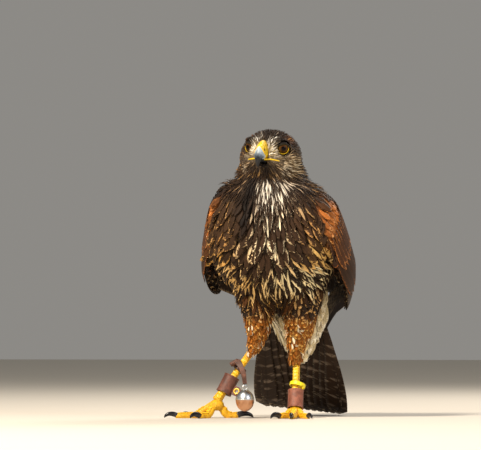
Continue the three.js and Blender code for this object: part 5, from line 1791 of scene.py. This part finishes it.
BRISTLE = bristle_hair("bristle_keratin")
aside, forward, upward = root_in_head.T
face_area = (np.abs(aside) < 14) & (forward > 22) & (root_owner == FLESH.index("head"))
in_lores = face_area & (upward > 4) & (upward < 20) & (aside > 5)
in_chin = face_area & (upward < -1) & (upward > -10)
hairy = np.flatnonzero((in_lores & (RNG.random(root_count) < 0.3)) | in_chin)
hair_out = root_out[hairy]
hair_way = unit(root_way[hairy] + hair_out * 0.6 + RNG.normal(0, 0.15, (len(hairy), 3)))
hair_long = RNG.uniform(5, 8, len(hairy))
hair_up = tangent(hair_out, hair_way)
hair_spots = root_place[hairy] + hair_out * 0.6 + hair_way * hair_long[:, None] / 2
hair_thick = np.full(len(hairy), BRISTLE_THICK)
hair_sizes = np.stack([hair_thick, hair_long, hair_thick], 1)
finished(repeated("bristles", hair_shape, BRISTLE, hair_spots, hair_way, hair_up, hair_sizes), "plumage_dark")
for shape in (plate_shape, hair_shape):
    bpy.data.objects.remove(shape)

# %% [markdown]
# ## Claws
# Claws are curved black horn, thickest at the root. Each is a tube along its own hooked line, drawn fine
# enough to stay round in a close view, with the same polished finish as the bill's tip.

# %% Claws
CLAW_RISE = [(0.18, 1.9), (0.42, 1.9), (0.62, 0.2)]
CLAW_SIZE = [2.7, 2.6, 2.1, 1.5, 0.45]
CLAW_STOPS = [(0.0, "3a3a40"), (1.0, "0b0b0d"), (0.2, "1c1d22")]
CLAW_HORN = polished_horn("claw_horn_keratin", CLAW_STOPS, 0.26)
CLAW_STATIONS, CLAW_AROUND = 26, 18


def claw_tube(leg, toe):
    """A claw's points and faces."""
    length, long = TOES[toe]["length"], TOES[toe]["claw"]
    foot, way = leg_ends(leg)[1] * [1, 1, 0], toe_way(leg, toe)
    root = float(toe_radius(toe, 1))
    knots = [(-1.6, root + 0.5)] + [(long * share, root + rise) for share, rise in CLAW_RISE]
    knots += [(long * 0.72, 0.7)]
    line = line_through([foot + way * (length + reach) + [0, 0, z] for reach, z in knots])
    share = np.linspace(0, 1, CLAW_STATIONS)
    radius = eased(CLAW_SIZE, share) * math.sqrt(long / 20)
    return tube_along(line(share), radius, radius * 1.15, CLAW_AROUND)


for leg in ("left", "right"):
    points, faces = all_in_one([claw_tube(leg, toe) for toe in TOES])
    points[:, 2] = np.maximum(points[:, 2], OFF_FLOOR)
    made = mesh_object(f"claws_{leg}", points, faces, CLAW_HORN)
    store(made, "along", np.tile(np.repeat(np.linspace(0, 1, CLAW_STATIONS), CLAW_AROUND), len(TOES)))
    finished(made, "claw_horn", *[f"claw_{leg}_{toe}" for toe in TOES])

# %% [markdown]
# ## What it wears
# Leather anklets with brass eyelets, a plastic ring, and a bell on a leather strap. Cuffs, ring and bell
# are turned from half sections, as on a lathe, and set on the shank by a frame that runs along it. The
# leather is remeshed after it is joined and cut, which rounds every edge as wear does.

# %% Turned shapes and frames on the shank
AROUND = 56


def shank_frame(leg, share, tilt):
    """A frame at a share of the way down a shank: its axes as columns, and its middle."""
    heel, foot = leg_ends(leg)
    up = unit(heel - foot)
    across = unit(np.cross([0, 1, 0], up))
    axes = np.stack([across, np.cross(up, across), up], 1)
    return axes @ np.array(turning(tilt, "Y")), heel + (foot - heel) * share


def turned(profile, around=AROUND):
    """A closed profile of (radius, height) points turned about Z."""
    profile = np.asarray(profile, float)
    angle = np.linspace(0, 2 * np.pi, around, False)
    ring = np.stack([np.cos(angle), np.sin(angle), 0 * angle], 1)
    points = profile[:, None, :1] * ring[None] + profile[:, None, 1:] * np.array([0, 0, 1.0])
    points = points.reshape(-1, 3)
    return points, outward_faces(points, ring_faces(len(profile), around))


def oval(middle, halves, count, power=2):
    """A closed profile: an ellipse, or nearer to a box where the power is higher."""
    angle = np.linspace(0, 2 * np.pi, count, False)
    shape = np.stack([rounded(np.cos(angle), power), rounded(np.sin(angle), power)], 1)
    return np.array(middle) + np.array(halves) * shape


def band(inner, outer, half, power=5):
    """A ring with rounded edges."""
    return turned(oval(((inner + outer) / 2, 0), ((outer - inner) / 2, half), 28, power))


def refined(profile, step=0.6):
    """A closed profile with more points on its straight runs."""
    profile = np.asarray(profile, float)
    rows = []
    for start, end in zip(profile, np.roll(profile, -1, 0)):
        count = max(1, int(np.linalg.norm(end - start) / step))
        rows.append(start + (end - start) * np.linspace(0, 1, count, False)[:, None])
    return np.concatenate(rows)


def moved(solid, axes, middle):
    """A solid's points set in a frame."""
    return solid[0] @ axes.T + middle, solid[1]


def rod(start, end, radius, around=32):
    """A closed straight rod."""
    spots = np.asarray(start, float) + (np.asarray(end, float) - start) * np.linspace(0, 1, 6)[:, None]
    level = (0, 0, 1.0) if abs(spots[0, 2] - spots[-1, 2]) < 1e-6 else (0, 1.0, 0)
    return tube_along(spots, np.full(6, radius), np.full(6, radius), around, 2, level)


def carved(solid, tools):
    """Points and triangles of a solid after tools are cut out of it."""
    base = mesh_object("base", *solid, LEG_KERATIN)
    cutters = [mesh_object("cutter", *tool, LEG_KERATIN) for tool in tools]
    for cutter in cutters:
        change = base.modifiers.new("cut", "BOOLEAN")
        change.object, change.solver = cutter, "EXACT"
    mesh = applied(base)
    work = bmesh.new()
    work.from_mesh(mesh)
    bmesh.ops.triangulate(work, faces=work.faces)
    work.to_mesh(mesh)
    work.free()
    for made in [base, *cutters]:
        bpy.data.objects.remove(made)
    return coordinates(mesh), corners_of(mesh)


# %% [markdown]
# Kangaroo or calf leather is dyed red-brown, with a fine pebbled grain and blotches of wear. Brass, silvered
# and copper sheet carry fine scratches and a little dull tarnish in patches.

# %% Finishes of leather, plastic and metal
def worn_leather(name, stops, grain_mm=0.55):
    """Dyed leather: fine pebbled grain, blotches of wear, and a low waxed shine."""
    made, tree = new_material(name)
    place = node(tree, COORDINATES).outputs["Object"]
    grain = node(tree, VORONOI, {"Vector": place, "Scale": 1 / (grain_mm * MM)})
    wear = node(tree, NOISE, {"Vector": place, "Scale": 130.0, "Detail": 5.0, "Roughness": 0.65})
    mix = node(tree, MATH, [grain, 0.25, wear], **TIMES_PLUS)
    shown = node(tree, RAMP, [mix], stops=stops)
    dull = node(tree, SPREAD, [wear, 0.3, 0.7, 0.42, 0.66])
    bump = node(tree, BUMP, {"Strength": 0.5, "Distance": 0.25 * MM, "Height": grain})
    return surfaced(made, {"Base Color": shown, "Roughness": dull, "Normal": bump})


def scratched_metal(name, clean, tarnish, roughness):
    """Thin sheet metal: a bright broken reflection, with fine scratches and dull patches of tarnish."""
    made, tree = new_material(name)
    place = node(tree, COORDINATES).outputs["Object"]
    stretched = node(tree, "ShaderNodeMapping", {"Vector": place, "Scale": (0.15, 1.0, 1.0)})
    scratch = node(tree, NOISE, {"Vector": stretched, "Scale": 1500.0, "Detail": 4.0, "Roughness": 0.7})
    patch = node(tree, NOISE, {"Vector": place, "Scale": 140.0, "Detail": 3.0})
    share = node(tree, SPREAD, [patch, 0.45, 0.75], **SOFT)
    shown = node(tree, MIX, {0: share, 6: colour(clean), 7: colour(tarnish)}, **RGBA).outputs[2]
    dull = node(tree, SPREAD, [scratch, 0.3, 0.7, roughness, roughness + 0.2])
    bump = node(tree, BUMP, {"Strength": 0.12, "Distance": 0.1 * MM, "Height": scratch})
    return surfaced(made, {"Base Color": shown, "Roughness": dull, "Normal": bump, "Metallic": 1.0})


def moulded_plastic(name, code, dirt):
    """Moulded plastic: even colour, soft gloss, scuffs, and dirt that has settled in small marks."""
    made, tree = new_material(name)
    place = node(tree, COORDINATES).outputs["Object"]
    scuff = node(tree, NOISE, {"Vector": place, "Scale": 380.0, "Detail": 5.0})
    share = node(tree, SPREAD, [scuff, 0.58, 0.75], **SOFT)
    shown = node(tree, MIX, {0: share, 6: colour(code), 7: colour(dirt)}, **RGBA).outputs[2]
    dull = node(tree, SPREAD, [scuff, 0.3, 0.7, 0.35, 0.6])
    bump = node(tree, BUMP, {"Strength": 0.1, "Distance": 0.1 * MM, "Height": scuff})
    return surfaced(made, {"Base Color": shown, "Roughness": dull, "Normal": bump})


# One leather in two copies, lighter on the left anklet and darker on the right: painted light and painted
# shade.
LIT_AND_SHADED_LEATHER_STOPS = {
    "left": [(0.38, "5a3024"), (0.85, "a8684f"), (0.55, "76432f"), (0.68, "8a5340")],
    "right": [(0.38, "42231a"), (0.85, "86523f"), (0.55, "563024"), (0.68, "683e30")],
}
LEATHER = {leg: worn_leather(f"waxed_leather_lit_and_shaded_{leg}", stops) for leg, stops in LIT_AND_SHADED_LEATHER_STOPS.items()}
STRAP_STOPS = [(0.38, "2b1912"), (0.85, "7d5240"), (0.55, "43281d"), (0.68, "5c392b")]
STRAP_LEATHER = worn_leather("strap_leather", STRAP_STOPS)
BRASS = scratched_metal("rolled_brass", "c9a24a", "7a5a22", 0.26)
SILVER = scratched_metal("silvered_sheet", "dfe2e3", "8f9496", 0.2)
COPPER = scratched_metal("copper_sheet", "d8a683", "b07a58", 0.26)
RING_PLASTIC = moulded_plastic("yellow_ring_plastic", "f0de16", "8e7f1a")

# %% [markdown]
# Each anklet is a cuff and a tab in one piece of leather, bored for the eyelet that is pressed into it.

# %% Anklets and eyelets
CUFF_INNER, CUFF_OUTER, CUFF_HALF, CUFF_LIP = 7.4, 8.9, 11.0, 0.7
CUFF_AT, CUFF_TILT = {"left": 0.895, "right": 0.74}, {"left": 0, "right": -8}
TAB_REACH, TAB_WIDE, TAB_THICK, TAB_LOW, TAB_TURN = 4.8, 11.0, 2.6, 3.0, {"left": 125, "right": -14}
EYELET_INNER, EYELET_OUTER, EYELET_BARREL = 2.0, 4.0, 1.0
EYELET_AT = np.array([CUFF_OUTER + TAB_REACH, 0, -TAB_LOW])
ON_ITS_SIDE = np.array([[1.0, 0, 0], [0, 0, 1], [0, -1, 0]]).T


def cuff_profile():
    """Half section of a cuff whose rims flare a little."""
    r0, r1, h, lip = CUFF_INNER, CUFF_OUTER, CUFF_HALF, CUFF_LIP
    outer = [(r0 + lip, -h), (r1 + lip, -h), (r1, -h + 2), (r1, h - 2), (r1 + lip, h)]
    return outer + [(r0 + lip, h), (r0, h - 2.4), (r0, -h + 2.4)]


def tab_solid():
    """The tab that stands off the cuff and carries the eyelet, with a rounded end."""
    half = TAB_WIDE / 2
    angle = np.linspace(-np.pi / 2, np.pi / 2, 25)
    rim = np.stack([EYELET_AT[0] + half * np.cos(angle), half * np.sin(angle) - TAB_LOW], 1)
    inside = np.stack([np.full(25, CUFF_INNER + 0.6), half * np.sin(angle) - TAB_LOW], 1)
    edge = np.concatenate([rim, inside[::-1]])
    flat = np.stack([edge[:, 0], np.zeros(len(edge)), edge[:, 1]], 1)
    points = np.concatenate([flat + [0, y, 0] for y in np.linspace(-TAB_THICK / 2, TAB_THICK / 2, 5)])
    return points, outward_faces(points, tube_faces(5, len(edge)))


def eyelet_profile():
    """Half section of a brass eyelet: a barrel with a rolled flange on each face."""
    half, r0, r1, r2 = TAB_THICK / 2, EYELET_INNER, EYELET_INNER + EYELET_BARREL, EYELET_OUTER
    angle = np.linspace(-0.35, math.pi + 0.2, 12)
    roll = np.stack([(r0 + r2) / 2 + (r2 - r0) / 2 * np.cos(angle), half + 0.1 + 0.8 * np.sin(angle)], 1)
    upper = np.vstack([[(r1, half - 0.25)], roll])
    return np.vstack([upper, upper[::-1] * [1, -1]])


hole = rod(EYELET_AT - [0, 6, 0], EYELET_AT + [0, 6, 0], EYELET_INNER + EYELET_BARREL + 0.1)
for leg in ("left", "right"):
    axes, middle = shank_frame(leg, CUFF_AT[leg], CUFF_TILT[leg])
    axes = axes @ np.array(turning(TAB_TURN[leg], "Z"))
    cuff = carved(blended([turned(refined(cuff_profile())), tab_solid()], 0.42), [hole])
    piece(f"anklet_leather_{leg}", moved(cuff, axes, middle), LEATHER[leg], "leather", f"anklet_{leg}")
    eyelet = moved(moved(turned(eyelet_profile(), 40), ON_ITS_SIDE, EYELET_AT), axes, middle)
    piece(f"eyelet_brass_{leg}", eyelet, BRASS, "brass", f"eyelet_{leg}")

# %% [markdown]
# The ring is a plain band of plastic. The bell is two cups of sheet metal that meet in a rolled seam, with
# a slit across its bottom, two holes at the slit's ends, a wire loop on top and a pea inside.

# %% Leg ring and bell
RING_INNER, RING_OUTER, RING_HALF, RING_SHIFT = 7.7, 9.2, 2.2, [1.9, -1.2, 0]
BELL_RADIUS, BELL_TALL, BELL_WALL = 10.6, 12.6, 0.9
BELL_SLOT, BELL_HOLE, BELL_TURN = 1.8, 1.6, -12
BELL_AT = np.array([-34.2, -12, 20.5])
LOOP_RADIUS, LOOP_WIRE, LOOP_RISE = 2.6, 0.8, 2.2


def bell_profile(first, last, count=20):
    """Half section of the bell's wall between two angles above its middle."""
    angle = np.radians(np.linspace(first, last, count))
    outer = np.stack([BELL_RADIUS * np.cos(angle), BELL_TALL * np.sin(angle)], 1)
    shrunk = [BELL_RADIUS - BELL_WALL, BELL_TALL - BELL_WALL] * np.stack([np.cos(angle), np.sin(angle)], 1)
    profile = np.vstack([outer, shrunk[::-1]])
    profile[:, 0] = np.maximum(profile[:, 0], 0.02)
    return profile


axes, middle = shank_frame("left", 0.69, 12)
ring = moved(band(RING_INNER, RING_OUTER, RING_HALF), axes, middle + RING_SHIFT)
piece("ring_plastic_left", ring, RING_PLASTIC, "ring_plastic", "leg_ring")

seam = oval((BELL_RADIUS - 0.15, 1.35), (0.55, 0.75), 14)
points, faces = all_in_one([turned(bell_profile(7, 90)), turned(seam)])
piece("bell_crown_silver", (points + BELL_AT, faces), SILVER, "bell_silver", "bell_crown")
slot_spots = np.array([[x, 0, -BELL_TALL * 0.72] for x in np.linspace(-0.93, 0.93, 5) * BELL_RADIUS])
slit = tube_along(slot_spots, np.full(5, BELL_SLOT / 2), np.full(5, BELL_TALL / 2), 24, 10)
ends = rod((-16, 0, -BELL_TALL * 0.2), (16, 0, -BELL_TALL * 0.2), BELL_HOLE)
bowl = carved(turned(bell_profile(5.6, -90, 26)), [slit, ends])
bowl = moved(bowl, np.array(turning(BELL_TURN, "Z")), BELL_AT)
finished(mesh_object("bell_bowl_copper", *bowl, COPPER, shade=False), "bell_copper", "bell_bowl")
loop = turned(oval((LOOP_RADIUS, 0), (LOOP_WIRE, LOOP_WIRE), 18), 40)
loop = moved(loop, np.array(turning(30, "Z") @ turning(90, "X")), BELL_AT + [0, 0, BELL_TALL + LOOP_RISE])
piece("bell_loop_wire", loop, SILVER, "bell_silver", "bell_loop")
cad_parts["bell_pea"].data.materials.clear()
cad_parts["bell_pea"].data.materials.append(COPPER)

# %% [markdown]
# The strap is one strip of leather: a loop round the shank, its end rolled up into a button, and a tail that
# hangs down to the bell. The roll is drawn as a true spiral, since its end faces the camera.

# %% Strap, button and hanging end
STRAP_WIDE, STRAP_THICK, STRAP_INNER = 7.0, 1.6, 6.4
BUTTON_AT, BUTTON_RISE = np.array([-48.4, -1.8, 64]), 30
HANGING = [(-44.6, -6.2, 66), (-39.6, -11, 60.5), (-35.8, -13, 51), (-34.2, -12, 39.3)]
ROLL_STATIONS, ROLL_STEPS = 9, 80


def rolled_strip(turns=2.1, first=0.5, last=3.0, half=5.0):
    """A strip of leather rolled up along X, as a closed solid."""
    angle = np.linspace(0, turns * 2 * np.pi, ROLL_STEPS)
    radius = np.linspace(first, last, ROLL_STEPS)
    thick = 0.42 * np.minimum(1, np.linspace(8, 0.2, ROLL_STEPS))
    ring = np.stack([np.cos(angle), np.sin(angle)], 1)
    edge = np.concatenate([ring * (radius + thick)[:, None], (ring * (radius - thick)[:, None])[::-1]])
    rings = []
    for x in np.linspace(-half, half, ROLL_STATIONS):
        rings.append(np.hstack([np.full((len(edge), 1), x), edge * (1 - 0.05 * (x / half) ** 2)]))
    points = np.concatenate(rings)
    return points, outward_faces(points, tube_faces(ROLL_STATIONS, len(edge)))


def hanging_strip(stations=40, around=32):
    """The strap's hanging end: flat, a little wavy, and narrower towards the bell."""
    share = np.linspace(0, 1, stations)
    spots = line_through(HANGING)(share)
    ways = unit(np.gradient(spots, axis=0))
    across = tangent(np.tile([0.86, 0.2, 0.46], (stations, 1)), ways)
    through = np.cross(ways, across)
    angle = np.linspace(0, 2 * np.pi, around, False)
    c, s = rounded(np.cos(angle), 6), rounded(np.sin(angle), 6)
    half = STRAP_WIDE / 2 * (1 - 0.3 * share) * (1 - 0.06 * np.cos(share * 14))
    points = spots[:, None] + across[:, None] * (half[:, None] * c)[..., None]
    points = (points + through[:, None] * (STRAP_THICK / 2 * s)[None, :, None]).reshape(-1, 3)
    return points, outward_faces(points, tube_faces(stations, around))


strap_ring = band(STRAP_INNER, STRAP_INNER + STRAP_THICK, STRAP_WIDE / 2, 7)
strap_ring = moved(strap_ring, *shank_frame("right", 0.47, 10))
piece("strap_loop_leather", strap_ring, STRAP_LEATHER, "leather", "bell_strap_loop")
button = moved(rolled_strip(), np.array(turning(-BUTTON_RISE, "Y")), BUTTON_AT)
piece("strap_button_leather", button, STRAP_LEATHER, "leather", "bell_strap_button")
piece("strap_hanging_leather", hanging_strip(), STRAP_LEATHER, "leather", "bell_strap")

# %% [markdown]
# ## Light and floor
# A plain pale floor under an even, dim sky keeps the eye on the bird. A small warm light high at the front
# left models the form, a broad weak one fills the shadows, and a third from behind parts the dark back from
# what is beyond it.

# %% Studio
FLOOR_COLOUR, SKY_COLOUR, SKY_STRENGTH = "d3cdc2", "f1ede6", 0.3
FLOOR_HALF = 9.0  # metres
BREAST = Vector((0, 0, 0.18))


def floor_sheet():
    """A level floor, wide enough to reach the horizon of every view."""
    corners = np.array([(-1, -1, 0), (1, -1, 0), (1, 1, 0), (-1, 1, 0)]) * FLOOR_HALF / MM + ORIGIN
    board = surfaced(new_material("painted_board")[0], {"Base Color": colour(FLOOR_COLOUR), "Roughness": 0.9})
    return mesh_object("floor", corners, [(0, 1, 2, 3)], board)


def area_light(name, place, size, power, tint):
    """A square soft light aimed at the bird's breast."""
    lamp = bpy.data.lights.new(name, "AREA")
    lamp.size = size
    lamp.energy = power
    lamp.color = colour(tint)[:3]
    made = linked(name, lamp)
    made.location = place
    aim_at(made, BREAST - Vector(place))


floor_sheet()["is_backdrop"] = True
area_light("key", (-0.75, -1.7, 1.8), 0.34, 94, "fff1de")
area_light("fill", (1.7, -1.3, 0.9), 1.2, 13, "f2f4ff")
area_light("rim", (0.7, 1.4, 1.5), 0.8, 26, "fff6ea")
sky = bpy.data.worlds.new("studio")
bpy.context.scene.world = sky
sky.use_nodes = True
sky.node_tree.nodes["Background"].inputs["Color"].default_value = colour(SKY_COLOUR)
sky.node_tree.nodes["Background"].inputs["Strength"].default_value = SKY_STRENGTH

# %% Bounds of the CAD part and of the dressed bird
low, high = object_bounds()
sizes = {"cad": [list(cad_low), list(cad_high)], "visual": [list(low), list(high)]}
